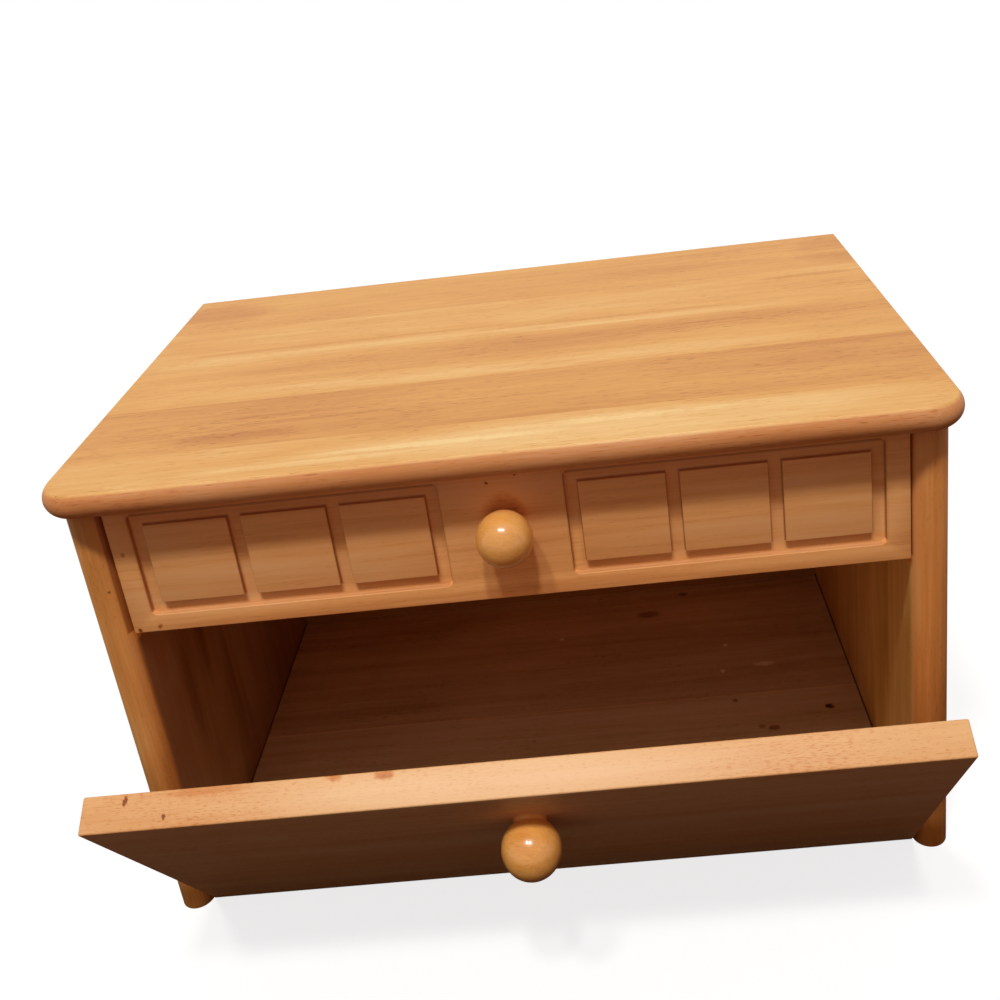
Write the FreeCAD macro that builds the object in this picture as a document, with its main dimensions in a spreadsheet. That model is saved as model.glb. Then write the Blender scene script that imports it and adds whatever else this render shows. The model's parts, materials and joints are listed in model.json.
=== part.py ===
"""Bread box with drawer, in lacquered solid wood.

A case of two side panels, a top board, a floor, a back and a shelf. Below the shelf is the bread
compartment, closed by a flap that turns on two pins near its lower edge. Above the shelf runs a drawer.

Frame: millimetres. X is to the right, Y runs from the front to the back and Z is up. The origin is on the
table, under the middle of the case. The sheet counts Y from the front of the side panels, and
case_middle is where the origin lies on that scale.
"""
import FreeCAD, Part
import os
import math
import Sketcher

doc = FreeCAD.newDocument("bread_box")
sheet = doc.addObject("Spreadsheet::Sheet", "Sizes")

# ---------------------------------------------------------------------------------------------------
# Driving sizes, in millimetres and degrees
# ---------------------------------------------------------------------------------------------------
DRIVING = (
    # case
    ("overall_width", 430.0, "top board, from side to side"),
    ("overall_height", 261.5, "table to the top board's upper face"),
    ("case_depth", 262.0, "side panels, front to back"),
    ("side_overhang", 6.5, "top board past each side panel"),
    ("front_overhang", 12.2, "top board past the side panels' front"),
    ("top_thickness", 12.0, "top board"),
    ("top_corner_radius", 20.0, "top board's front corners, seen from above"),
    ("top_edge_flat", 3.0, "flat left in the middle of the top board's rounded edge"),
    ("side_thickness", 17.8, "side panels"),
    ("floor_thickness", 4.5, "floor panel"),
    ("floor_setback", 20.5, "floor panel's front edge, behind the side panels' front"),
    ("back_thickness", 5.0, "back panel"),
    ("rabbet_depth", 8.0, "floor and back are let into the side panels by this much"),
    ("panel_fit", 0.25, "gap at each end of the floor and back in their rabbets"),
    ("shelf_thickness", 12.0, "shelf between compartment and drawer"),
    ("dado_depth", 6.0, "shelf is let into the side panels by this much"),
    ("shelf_drop", 8.2, "shelf's underside below the drawer front's lower edge"),
    ("stop_gap", 0.4, "closed flap to the front edge of the shelf"),
    # flap
    ("flap_thickness", 15.8, "flap"),
    ("flap_setback", 0.2, "closed flap's face behind the side panels' front"),
    ("flap_side_gap", 0.4, "flap to each side panel"),
    ("flap_top_gap", 0.4, "closed flap to the drawer front above it"),
    ("flap_lift", 3.8, "closed flap's lower edge above the table"),
    ("flap_axis_height", 7.2, "pin axis above the flap's lower edge"),
    ("flap_open_angle", 34.9, "flap's tilt forward at rest"),
    ("flap_knob_drop", 40.0, "knob centre below the flap's upper edge"),
    ("edge_easing", 0.8, "rounding on the edges of the flap and the drawer front"),
    ("pin_radius", 2.5, "steel pins that the flap turns on"),
    ("pin_clearance", 0.06, "radial play of a pin in its side panel"),
    ("pin_in_flap", 16.0, "pin length held in the flap"),
    ("pin_in_side", 9.0, "pin length in the side panel"),
    ("pin_end_gap", 0.6, "room behind the pin in the side panel"),
    # drawer
    ("drawer_front_height", 72.3, "drawer front"),
    ("drawer_front_thickness", 12.6, "drawer front"),
    ("drawer_setback", 3.6, "drawer front's face behind the side panels' front"),
    ("drawer_front_gap", 0.6, "drawer front to each side panel"),
    ("drawer_top_gap", 1.0, "drawer front to the top board"),
    ("drawer_side_gap", 1.2, "drawer's side to the case's side panel"),
    ("drawer_running_gap", 0.3, "drawer's sides above the shelf"),
    ("drawer_side_height", 61.7, "drawer's sides"),
    ("drawer_side_thickness", 10.0, "drawer's sides and back"),
    ("drawer_back_room", 13.0, "room behind the shut drawer"),
    ("drawer_back_drop", 5.0, "drawer's back below the upper edge of its sides"),
    ("drawer_bottom_thickness", 3.5, "drawer's bottom"),
    ("drawer_bottom_height", 6.0, "drawer's bottom above the lower edge of its sides"),
    ("drawer_groove_depth", 4.0, "groove that holds the drawer's bottom"),
    ("drawer_groove_end_gap", 0.3, "play of the drawer's bottom at each end"),
    # routed squares on the drawer front
    ("square_width", 41.0, "raised square"),
    ("square_height", 43.1, "raised square"),
    ("groove_width", 6.6, "sunk band round the squares"),
    ("groove_depth", 2.5, "sunk band"),
    ("groove_corner_radius", 3.0, "outer corners of the sunk band"),
    ("groove_margin_side", 11.2, "sunk band to the drawer front's end"),
    ("groove_margin_bottom", 9.4, "sunk band to the drawer front's lower edge"),
    # knobs and their screws
    ("knob_radius", 13.5, "ball of the knob"),
    ("knob_reach", 13.0, "ball centre in front of the wood"),
    ("knob_neck_radius", 7.6, "neck of the knob"),
    ("knob_height_on_drawer", 40.3, "knob centre above the drawer front's lower edge"),
    ("screw_radius", 2.0, "shank of the knob screw"),
    ("screw_head_radius", 4.2, "head of the knob screw"),
    ("screw_head_thickness", 2.6, "head of the knob screw"),
    ("screw_in_knob", 11.0, "shank length in the knob"),
    # catch
    ("magnet_radius", 2.0, "round magnet in the shelf's front edge"),
    ("magnet_length", 6.0, "round magnet"),
    ("magnet_height", 3.2, "magnet centre above the shelf's underside"),
    ("catch_plate_radius", 2.5, "steel disc in the flap"),
    ("catch_plate_thickness", 1.2, "steel disc"),
    # dowels and pins
    ("dowel_radius", 4.0, "dowels between top and sides"),
    ("dowel_in_top", 7.5, "dowel length in the top board"),
    ("dowel_in_side", 22.0, "dowel length in a side panel"),
    ("dowel_edge_distance", 36.0, "first and last dowel to the panel's front and back"),
    ("drawer_dowel_radius", 3.0, "dowels between drawer front and drawer sides"),
    ("drawer_dowel_in_front", 8.0, "dowel length in the drawer front"),
    ("drawer_dowel_in_side", 16.0, "dowel length in a drawer side"),
    ("drawer_dowel_edge_distance", 14.0, "dowels to the drawer side's lower and upper edge"),
    ("brad_radius", 0.8, "brads"),
    ("brad_length", 18.0, "brads"),
    ("brad_edge_distance", 26.0, "first and last brad of a row to the panel's end"),
)

# Sizes that follow from the driving ones
DERIVED = (
    ("case_middle", "case_depth / 2"),
    ("half_case", "overall_width / 2 - side_overhang"),
    ("half_inner", "half_case - side_thickness"),
    ("side_height", "overall_height - top_thickness"),
    ("bullnose_radius", "(top_thickness - top_edge_flat) / 2"),
    ("back_front", "case_depth - back_thickness"),
    ("panel_half_width", "half_inner + rabbet_depth - panel_fit"),
    ("floor_length", "back_front - floor_setback"),
    ("drawer_front_bottom", "side_height - drawer_top_gap - drawer_front_height"),
    ("shelf_bottom", "drawer_front_bottom - shelf_drop"),
    ("shelf_top", "shelf_bottom + shelf_thickness"),
    ("shelf_front", "flap_setback + flap_thickness + stop_gap"),
    ("shelf_length", "back_front - shelf_front"),
    ("flap_axis_y", "flap_setback + flap_thickness / 2"),
    ("flap_axis_z", "flap_lift + flap_axis_height"),
    ("flap_height", "drawer_front_bottom - flap_top_gap - flap_lift"),
    ("flap_half_width", "half_inner - flap_side_gap"),
    ("flap_knob_height", "flap_height - flap_axis_height - flap_knob_drop"),
    ("catch_plate_height", "shelf_bottom + magnet_height - flap_axis_z"),
    ("pin_hole_radius", "pin_radius + pin_clearance"),
    ("pin_hole_depth", "pin_in_side + pin_end_gap"),
    ("drawer_half_front", "half_inner - drawer_front_gap"),
    ("drawer_half_box", "half_inner - drawer_side_gap"),
    ("drawer_half_inside", "drawer_half_box - drawer_side_thickness"),
    ("drawer_side_bottom", "shelf_top + drawer_running_gap"),
    ("drawer_side_front", "drawer_setback + drawer_front_thickness"),
    ("drawer_length", "back_front - drawer_side_front - drawer_back_room"),
    ("drawer_back_front", "drawer_length - drawer_side_thickness"),
    ("drawer_bottom_z", "drawer_side_bottom + drawer_bottom_height"),
    ("drawer_groove_half_width", "drawer_half_inside + drawer_groove_depth"),
    ("drawer_groove_height", "drawer_bottom_z - drawer_front_bottom"),
    ("drawer_back_bottom", "drawer_bottom_height + drawer_bottom_thickness"),
    ("drawer_back_height", "drawer_side_height - drawer_back_drop - drawer_back_bottom"),
    ("groove_group_width", "3 * square_width + 4 * groove_width"),
    ("groove_group_height", "square_height + 2 * groove_width"),
    ("knob_neck_length", "knob_reach - sqrt(knob_radius ^ 2 - knob_neck_radius ^ 2)"),
)

NAMES = {entry[0] for entry in DRIVING + DERIVED}


def fill_sheet():
    """Writes every size into the sheet, under its own name."""
    row = 0
    for name, value, note in DRIVING:
        row += 1
        sheet.set(f"A{row}", note)
        sheet.set(f"B{row}", str(value))
        sheet.setAlias(f"B{row}", name)
    for name, formula in DERIVED:
        row += 1
        sheet.set(f"A{row}", "follows from the sizes above")
        sheet.set(f"B{row}", "=" + formula)
        sheet.setAlias(f"B{row}", name)
    doc.recompute()


def size(name):
    """The value of one size in the sheet."""
    return float(sheet.get(name))


def sized(expression):
    """The expression with each size's name pointed at the sheet."""
    words = []
    word = ""
    for letter in expression + " ":
        if letter.isalnum() or letter == "_":
            word += letter
            continue
        words.append("Sizes." + word if word in NAMES else word)
        words.append(letter)
        word = ""
    return "".join(words).strip()


fill_sheet()


# ---------------------------------------------------------------------------------------------------
# How sketches, features and groups are made
# ---------------------------------------------------------------------------------------------------
ROOT_POINT = (-1, 1)
AXIS = {"horizontal": -1, "vertical": -2}


def new_body(label, x="0", y="0", z="0"):
    """A body whose place is bound to the sheet. Y counts from the side panels' front."""
    body = doc.addObject("PartDesign::Body", label)
    body.Label = label
    body.setExpression("Placement.Base.x", sized(x))
    body.setExpression("Placement.Base.y", sized(f"{y} - case_middle"))
    body.setExpression("Placement.Base.z", sized(z))
    return body


def new_sketch(body, role, offset="0"):
    """A sketch on one of the body's origin planes, moved along that plane's normal."""
    sketch = body.newObject("Sketcher::SketchObject", f"{body.Label}_sketch")
    own_plane = next(item for item in body.Origin.OriginFeatures if item.Role == role)
    sketch.AttachmentSupport = [(own_plane, "")]
    sketch.MapMode = "FlatFace"
    sketch.setExpression("AttachmentOffset.Base.z", sized(offset))
    return sketch


def place_point(sketch, edge, end, x, y):
    """Holds one point of the sketch at x, y from the sketch's origin."""
    here = sketch.getPoint(edge, end)
    for kind, expression, now, axis in (
        ("DistanceX", x, here.x, AXIS["vertical"]),
        ("DistanceY", y, here.y, AXIS["horizontal"]),
    ):
        if expression == "0":
            sketch.addConstraint(Sketcher.Constraint("PointOnObject", edge, end, axis))
            continue
        held = sketch.addConstraint(Sketcher.Constraint(kind, *ROOT_POINT, edge, end, now))
        sketch.setExpression(f"Constraints[{held}]", sized(expression))


def add_rectangle(sketch, left, bottom, right, top):
    """A rectangle between two corners, each given by its distances from the sketch's origin."""
    first = sketch.GeometryCount
    corners = [FreeCAD.Vector(*pair, 0) for pair in ((1, 1), (2, 1), (2, 2), (1, 2))]
    for index in range(4):
        sketch.addGeometry(Part.LineSegment(corners[index], corners[(index + 1) % 4]))
    for index in range(4):
        following = first + (index + 1) % 4
        sketch.addConstraint(Sketcher.Constraint("Coincident", first + index, 2, following, 1))
    for index, kind in enumerate(("Horizontal", "Vertical", "Horizontal", "Vertical")):
        sketch.addConstraint(Sketcher.Constraint(kind, first + index))
    place_point(sketch, first, 1, left, bottom)
    place_point(sketch, first + 1, 2, right, top)
    return first


def add_circle(sketch, x, y, radius):
    """A circle about a point given by its distances from the sketch's origin."""
    circle = sketch.addGeometry(Part.Circle(FreeCAD.Vector(3, 3, 0), FreeCAD.Vector(0, 0, 1), 1))
    place_point(sketch, circle, 3, x, y)
    held = sketch.addConstraint(Sketcher.Constraint("Radius", circle, 1.0))
    sketch.setExpression(f"Constraints[{held}]", sized(radius))


def finish_feature(body, feature):
    """Makes the feature the body's tip and works it out."""
    body.Tip = feature
    doc.recompute()
    return feature


def pad(body, sketch, length, reverse=False):
    """Raises the sketch to a solid."""
    feature = body.newObject("PartDesign::Pad", f"{body.Label}_pad")
    feature.Profile = sketch
    feature.setExpression("Length", sized(length))
    feature.Reversed = reverse
    return finish_feature(body, feature)


def pocket(body, sketch, depth, reverse=False):
    """Cuts the sketch into the body, and makes sure that wood was taken away."""
    before = body.Shape.Volume
    feature = body.newObject("PartDesign::Pocket", f"{body.Label}_pocket")
    feature.Profile = sketch
    feature.setExpression("Length", sized(depth))
    feature.Reversed = reverse
    finish_feature(body, feature)
    if body.Shape.Volume > before - 0.01:
        raise RuntimeError(f"{feature.Label} cuts nothing")
    return feature


def round_edges(body, radius, wanted):
    """Rounds the edges of the body's tip that the function wanted picks."""
    base = body.Tip
    names = [f"Edge{n}" for n, edge in enumerate(base.Shape.Edges, 1) if wanted(edge)]
    feature = body.newObject("PartDesign::Fillet", f"{body.Label}_rounding")
    feature.Base = (base, names)
    feature.setExpression("Radius", sized(radius))
    return finish_feature(body, feature)


def revolve(body, sketch):
    """Turns the sketch once round its vertical axis."""
    feature = body.newObject("PartDesign::Revolution", f"{body.Label}_turning")
    feature.Profile = sketch
    feature.ReferenceAxis = (sketch, ["V_Axis"])
    feature.Angle = 360
    return finish_feature(body, feature)


def mirrored(label, source):
    """The other hand of a piece, mirrored in the case's middle plane."""
    twin = doc.addObject("Part::Mirroring", label)
    twin.Label = label
    twin.Source = source
    twin.Base = (0, 0, 0)
    twin.Normal = (1, 0, 0)
    doc.recompute()
    return twin


ALONG = {
    "+X": FreeCAD.Rotation(FreeCAD.Vector(0, 1, 0), 90),
    "-X": FreeCAD.Rotation(FreeCAD.Vector(0, 1, 0), -90),
    "+Y": FreeCAD.Rotation(FreeCAD.Vector(1, 0, 0), -90),
    "-Y": FreeCAD.Rotation(FreeCAD.Vector(1, 0, 0), 90),
    "+Z": FreeCAD.Rotation(),
}


def add_rod(name, radius, length, direction, x, y, z):
    """A round rod from x, y, z along the direction. Y counts from the side panels' front."""
    rod = doc.addObject("Part::Cylinder", name)
    rod.Placement.Rotation = ALONG[direction]
    rod.setExpression("Radius", sized(radius))
    rod.setExpression("Height", sized(length))
    rod.setExpression("Placement.Base.x", sized(x))
    rod.setExpression("Placement.Base.y", sized(f"{y} - case_middle"))
    rod.setExpression("Placement.Base.z", sized(z))
    return rod


def group_of(label, rods):
    """Equal pieces that share one node, as separate solids."""
    group = doc.addObject("Part::Compound", label)
    group.Label = label
    group.Links = rods
    doc.recompute()
    return group


def row(start, length, edge_distance, count):
    """Expressions for count places along an edge, the outer two at edge_distance from its ends."""
    step = f"({length} - 2 * {edge_distance}) / {count - 1}"
    return [f"{start} + {edge_distance} + {index} * {step}" for index in range(count)]


# ---------------------------------------------------------------------------------------------------
# Where the dowels and brads go
# ---------------------------------------------------------------------------------------------------
SIDES = ("", "-")
TOP_DOWEL_ROW = row("0", "case_depth", "dowel_edge_distance", 3)
FLOOR_BRAD_ROW = row("floor_setback", "floor_length", "brad_edge_distance", 4)
BACK_BRAD_ROW = row("0", "side_height", "brad_edge_distance", 4)
SHELF_BRAD_ROW = row("-half_inner", "2 * half_inner", "brad_edge_distance", 4)
DRAWER_BRAD_ROW = row("drawer_back_bottom", "drawer_back_height", "drawer_dowel_edge_distance", 2)
DRAWER_BOTTOM_BRAD_ROW = row("-drawer_half_inside", "2 * drawer_half_inside", "brad_edge_distance", 3)
DRAWER_DOWEL_ROW = row("0", "drawer_side_height", "drawer_dowel_edge_distance", 2)
SIDE_MIDDLE = "half_inner + side_thickness / 2"
RABBET_MIDDLE = "half_inner + rabbet_depth / 2"
SHELF_MIDDLE = "shelf_bottom + shelf_thickness / 2"


# ---------------------------------------------------------------------------------------------------
# Case
# ---------------------------------------------------------------------------------------------------
def make_top_board():
    """The board that overhangs the sides and the front, with a rounded edge on those three sides."""
    body = new_body("top_board", z="side_height")
    outline = new_sketch(body, "XY_Plane")
    add_rectangle(outline, "-overall_width / 2", "-front_overhang", "overall_width / 2", "case_depth")
    pad(body, outline, "top_thickness")
    back = size("case_depth")
    front = -size("front_overhang")
    round_edges(
        body,
        "top_corner_radius",
        lambda edge: edge.BoundBox.ZLength > 1 and edge.BoundBox.YMax < front + 1,
    )
    round_edges(
        body,
        "bullnose_radius",
        lambda edge: edge.BoundBox.ZLength < 0.1 and edge.BoundBox.YMin < back - 1,
    )
    holes = new_sketch(body, "XY_Plane")
    for sign in SIDES:
        for y in TOP_DOWEL_ROW:
            add_circle(holes, f"{sign}({SIDE_MIDDLE})", y, "dowel_radius")
    pocket(body, holes, "dowel_in_top", reverse=True)
    return body


def make_side_panel_left():
    """A side panel with a half-round front edge. Its sketches count X from the case's middle."""
    body = new_body("side_panel_left")
    plan = new_sketch(body, "XY_Plane")
    inner, outer, depth = -size("half_inner"), -size("half_case"), size("case_depth")
    radius = size("side_thickness") / 2
    corners = [
        FreeCAD.Vector(inner, radius, 0),
        FreeCAD.Vector(inner, depth, 0),
        FreeCAD.Vector(outer, depth, 0),
        FreeCAD.Vector(outer, radius, 0),
    ]
    for index in range(3):
        plan.addGeometry(Part.LineSegment(corners[index], corners[index + 1]))
    tip = FreeCAD.Vector((inner + outer) / 2, 0, 0)
    plan.addGeometry(Part.Arc(corners[3], tip, corners[0]))
    arc_starts_outside = plan.getPoint(3, 1).x < tip.x
    outer_end, inner_end = (1, 2) if arc_starts_outside else (2, 1)
    for first, second in ((0, 1), (1, 2)):
        plan.addConstraint(Sketcher.Constraint("Coincident", first, 2, second, 1))
    plan.addConstraint(Sketcher.Constraint("Tangent", 2, 2, 3, outer_end))
    plan.addConstraint(Sketcher.Constraint("Tangent", 0, 1, 3, inner_end))
    plan.addConstraint(Sketcher.Constraint("Vertical", 0))
    plan.addConstraint(Sketcher.Constraint("Vertical", 2))
    place_point(plan, 0, 2, "-half_inner", "case_depth")
    place_point(plan, 2, 1, "-half_case", "case_depth")
    held = plan.addConstraint(Sketcher.Constraint("DistanceY", *ROOT_POINT, 3, 3, radius))
    plan.setExpression(f"Constraints[{held}]", sized("side_thickness / 2"))
    pad(body, plan, "side_height")

    floor_rabbet = new_sketch(body, "XY_Plane")
    add_rectangle(
        floor_rabbet, "-half_inner - rabbet_depth", "floor_setback", "-half_inner", "case_depth"
    )
    pocket(body, floor_rabbet, "floor_thickness", reverse=True)

    back_rabbet = new_sketch(body, "XY_Plane")
    add_rectangle(
        back_rabbet, "-half_inner - rabbet_depth", "back_front", "-half_inner", "case_depth"
    )
    pocket(body, back_rabbet, "side_height", reverse=True)

    shelf_dado = new_sketch(body, "YZ_Plane", "-half_inner")
    add_rectangle(shelf_dado, "shelf_front", "shelf_bottom", "back_front", "shelf_top")
    pocket(body, shelf_dado, "dado_depth")

    pin_hole = new_sketch(body, "YZ_Plane", "-half_inner")
    add_circle(pin_hole, "flap_axis_y", "flap_axis_z", "pin_hole_radius")
    pocket(body, pin_hole, "pin_hole_depth")

    dowel_holes = new_sketch(body, "XY_Plane", "side_height")
    for y in TOP_DOWEL_ROW:
        add_circle(dowel_holes, f"-({SIDE_MIDDLE})", y, "dowel_radius")
    pocket(body, dowel_holes, "dowel_in_side")

    floor_brad_holes = new_sketch(body, "XY_Plane", "floor_thickness")
    for y in FLOOR_BRAD_ROW:
        add_circle(floor_brad_holes, f"-({RABBET_MIDDLE})", y, "brad_radius")
    pocket(body, floor_brad_holes, "brad_length - floor_thickness", reverse=True)

    back_brad_holes = new_sketch(body, "XZ_Plane", "-back_front")
    for z in BACK_BRAD_ROW:
        add_circle(back_brad_holes, f"-({RABBET_MIDDLE})", z, "brad_radius")
    pocket(body, back_brad_holes, "brad_length - back_thickness", reverse=True)
    return body


def make_floor_panel():
    """The compartment's floor, let into the sides flush with their lower ends."""
    body = new_body("floor_panel", y="floor_setback")
    outline = new_sketch(body, "XY_Plane")
    add_rectangle(outline, "-panel_half_width", "0", "panel_half_width", "floor_length")
    pad(body, outline, "floor_thickness")
    holes = new_sketch(body, "XY_Plane")
    for sign in SIDES:
        for y in FLOOR_BRAD_ROW:
            add_circle(holes, f"{sign}({RABBET_MIDDLE})", f"{y} - floor_setback", "brad_radius")
    pocket(body, holes, "floor_thickness", reverse=True)
    return body


def make_back_panel():
    """The thin back, let into the sides, from the table to the top board."""
    body = new_body("back_panel", y="back_front")
    outline = new_sketch(body, "XY_Plane")
    add_rectangle(outline, "-panel_half_width", "0", "panel_half_width", "back_thickness")
    pad(body, outline, "side_height")
    holes = new_sketch(body, "XZ_Plane")
    for sign in SIDES:
        for z in BACK_BRAD_ROW:
            add_circle(holes, f"{sign}({RABBET_MIDDLE})", z, "brad_radius")
    for x in SHELF_BRAD_ROW:
        add_circle(holes, x, SHELF_MIDDLE, "brad_radius")
    pocket(body, holes, "back_thickness")
    return body


def make_drawer_shelf():
    """The shelf that parts compartment and drawer. Its front edge stops the flap and the drawer."""
    body = new_body("drawer_shelf", y="shelf_front", z="shelf_bottom")
    outline = new_sketch(body, "XY_Plane")
    half_width = "half_inner + dado_depth"
    add_rectangle(outline, f"-({half_width})", "0", half_width, "shelf_length")
    pad(body, outline, "shelf_thickness")
    magnet_hole = new_sketch(body, "XZ_Plane")
    add_circle(magnet_hole, "0", "magnet_height", "magnet_radius")
    pocket(body, magnet_hole, "magnet_length")
    brad_holes = new_sketch(body, "XZ_Plane", "-shelf_length")
    for x in SHELF_BRAD_ROW:
        add_circle(brad_holes, x, "shelf_thickness / 2", "brad_radius")
    pocket(body, brad_holes, "brad_length - back_thickness", reverse=True)
    return body


def make_catch_magnet():
    """The round magnet in the shelf's front edge."""
    magnet = add_rod(
        "catch_magnet", "magnet_radius", "magnet_length", "+Y",
        "0", "shelf_front", "shelf_bottom + magnet_height",
    )
    magnet.Label = "catch_magnet"
    return magnet


def make_top_dowels():
    """Six hidden dowels that hold the top board on the side panels."""
    rods = []
    for sign in SIDES:
        for y in TOP_DOWEL_ROW:
            rods.append(
                add_rod(
                    "top_dowel", "dowel_radius", "dowel_in_side + dowel_in_top", "+Z",
                    f"{sign}({SIDE_MIDDLE})", y, "side_height - dowel_in_side",
                )
            )
    return group_of("top_dowels", rods)


def make_floor_brads():
    """Brads that hold the floor up in its rabbets."""
    rods = []
    for sign in SIDES:
        for y in FLOOR_BRAD_ROW:
            rods.append(
                add_rod(
                    "floor_brad", "brad_radius", "brad_length", "+Z",
                    f"{sign}({RABBET_MIDDLE})", y, "0",
                )
            )
    return group_of("floor_brads", rods)


def make_back_brads():
    """Brads that hold the back on the side panels and on the shelf."""
    places = [(f"{sign}({RABBET_MIDDLE})", z) for sign in SIDES for z in BACK_BRAD_ROW]
    places += [(x, SHELF_MIDDLE) for x in SHELF_BRAD_ROW]
    rods = []
    for x, z in places:
        rods.append(
            add_rod("back_brad", "brad_radius", "brad_length", "-Y", x, "case_depth", z)
        )
    return group_of("back_brads", rods)


# ---------------------------------------------------------------------------------------------------
# Pieces that flap and drawer share
# ---------------------------------------------------------------------------------------------------
def make_knob(label):
    """A turned ball knob on a short neck. It stands on the XZ plane and points to the front."""
    body = new_body(label)
    profile = new_sketch(body, "XY_Plane")
    ball, neck, reach = size("knob_radius"), size("knob_neck_radius"), size("knob_reach")
    neck_end = -size("knob_neck_length")
    origin = FreeCAD.Vector(0, 0, 0)
    base_rim = FreeCAD.Vector(neck, 0, 0)
    neck_rim = FreeCAD.Vector(neck, neck_end, 0)
    crown = FreeCAD.Vector(0, -reach - ball, 0)
    waist = FreeCAD.Vector(ball, -reach, 0)
    for start, end in ((crown, origin), (origin, base_rim), (base_rim, neck_rim)):
        profile.addGeometry(Part.LineSegment(start, end))
    profile.addGeometry(Part.Arc(neck_rim, waist, crown))
    rim_end, crown_end = (1, 2) if profile.getPoint(3, 1).x > neck / 2 else (2, 1)
    for first, second in ((0, 1), (1, 2)):
        profile.addConstraint(Sketcher.Constraint("Coincident", first, 2, second, 1))
    profile.addConstraint(Sketcher.Constraint("Coincident", 2, 2, 3, rim_end))
    profile.addConstraint(Sketcher.Constraint("Coincident", 0, 1, 3, crown_end))
    profile.addConstraint(Sketcher.Constraint("PointOnObject", 0, 1, AXIS["vertical"]))
    profile.addConstraint(Sketcher.Constraint("Vertical", 2))
    place_point(profile, 1, 1, "0", "0")
    place_point(profile, 1, 2, "knob_neck_radius", "0")
    place_point(profile, 3, 3, "0", "-knob_reach")
    held = profile.addConstraint(Sketcher.Constraint("Radius", 3, ball))
    profile.setExpression(f"Constraints[{held}]", sized("knob_radius"))
    revolve(body, profile)
    hole = new_sketch(body, "XZ_Plane")
    add_circle(hole, "0", "0", "screw_radius")
    pocket(body, hole, "screw_in_knob", reverse=True)
    return body


def make_knob_screw(label, wood_thickness):
    """The screw that holds a knob, from behind. Its head bears on the XZ plane."""
    body = new_body(label)
    profile = new_sketch(body, "XY_Plane")
    shank_length = f"{wood_thickness} + screw_in_knob"
    add_rectangle(profile, "0", f"-({shank_length})", "screw_radius", "0")
    revolve(body, profile)
    head = new_sketch(body, "XZ_Plane")
    add_circle(head, "0", "0", "screw_head_radius")
    pad(body, head, "screw_head_thickness", reverse=True)
    head_end = size("screw_head_thickness")
    round_edges(
        body, "screw_head_thickness / 2", lambda edge: edge.BoundBox.YMin > head_end - 0.01
    )
    slot = new_sketch(body, "XZ_Plane", "-screw_head_thickness")
    half_slot = "screw_head_radius / 8"
    add_rectangle(
        slot, "-screw_head_radius", f"-{half_slot}", "screw_head_radius", half_slot
    )
    pocket(body, slot, "screw_head_thickness / 2", reverse=True)
    return body


# ---------------------------------------------------------------------------------------------------
# Flap
# ---------------------------------------------------------------------------------------------------
def place_on_flap(item, x="0", y="0", z="0"):
    """Binds a piece's place on the flap: x, y, z count from the pin axis of the closed flap."""
    turn = "flap_open_angle"
    item.setExpression("Placement.Base.x", sized(x))
    item.setExpression(
        "Placement.Base.y",
        sized(f"flap_axis_y - case_middle + ({y}) * cos({turn}) - ({z}) * sin({turn})"),
    )
    item.setExpression(
        "Placement.Base.z", sized(f"flap_axis_z + ({y}) * sin({turn}) + ({z}) * cos({turn})")
    )


def tilt_with_flap(item, start="0"):
    """Binds a piece's tilt about the pin axis, from its attitude on the closed flap."""
    item.Placement.Rotation = FreeCAD.Rotation(FreeCAD.Vector(1, 0, 0), 1)
    item.setExpression("Placement.Rotation.Angle", sized(f"{start} + flap_open_angle"))


def make_flap_door():
    """The flat board that closes the compartment. Its frame's origin is on the pin axis."""
    body = new_body("flap_door")
    outline = new_sketch(body, "XY_Plane", "-flap_axis_height")
    add_rectangle(
        outline,
        "-flap_half_width", "-flap_thickness / 2", "flap_half_width", "flap_thickness / 2",
    )
    pad(body, outline, "flap_height")
    round_edges(body, "edge_easing", lambda edge: True)
    for sign, reverse in (("", False), ("-", True)):
        pin_hole = new_sketch(body, "YZ_Plane", f"{sign}flap_half_width")
        add_circle(pin_hole, "0", "0", "pin_radius")
        pocket(body, pin_hole, "pin_in_flap", reverse=reverse)
    screw_hole = new_sketch(body, "XZ_Plane", "flap_thickness / 2")
    add_circle(screw_hole, "0", "flap_knob_height", "screw_radius")
    pocket(body, screw_hole, "flap_thickness")
    plate_seat = new_sketch(body, "XZ_Plane", "-flap_thickness / 2")
    add_circle(plate_seat, "0", "catch_plate_height", "catch_plate_radius")
    pocket(body, plate_seat, "catch_plate_thickness", reverse=True)
    place_on_flap(body)
    tilt_with_flap(body)
    return body


def make_flap_pins():
    """The two steel pins that the flap turns on, held in its ends."""
    pins = []
    for label, sign, direction in (("flap_pin_left", "-", "-X"), ("flap_pin_right", "", "+X")):
        pin_length = "pin_in_flap + flap_side_gap + pin_in_side"
        pin = add_rod(label, "pin_radius", pin_length, direction, "0", "0", "0")
        pin.Label = label
        place_on_flap(pin, x=f"{sign}(flap_half_width - pin_in_flap)")
        pins.append(pin)
    return pins


def make_flap_fittings():
    """The flap's knob with its screw, and the steel disc that the magnet holds."""
    knob = make_knob("flap_knob")
    place_on_flap(knob, y="-flap_thickness / 2", z="flap_knob_height")
    tilt_with_flap(knob)
    screw = make_knob_screw("flap_knob_screw", "flap_thickness")
    place_on_flap(screw, y="flap_thickness / 2", z="flap_knob_height")
    tilt_with_flap(screw)
    plate = add_rod(
        "catch_plate", "catch_plate_radius", "catch_plate_thickness", "-Y", "0", "0", "0"
    )
    plate.Label = "catch_plate"
    place_on_flap(plate, y="flap_thickness / 2", z="catch_plate_height")
    tilt_with_flap(plate, start="90")
    return [knob, screw, plate]


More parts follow.
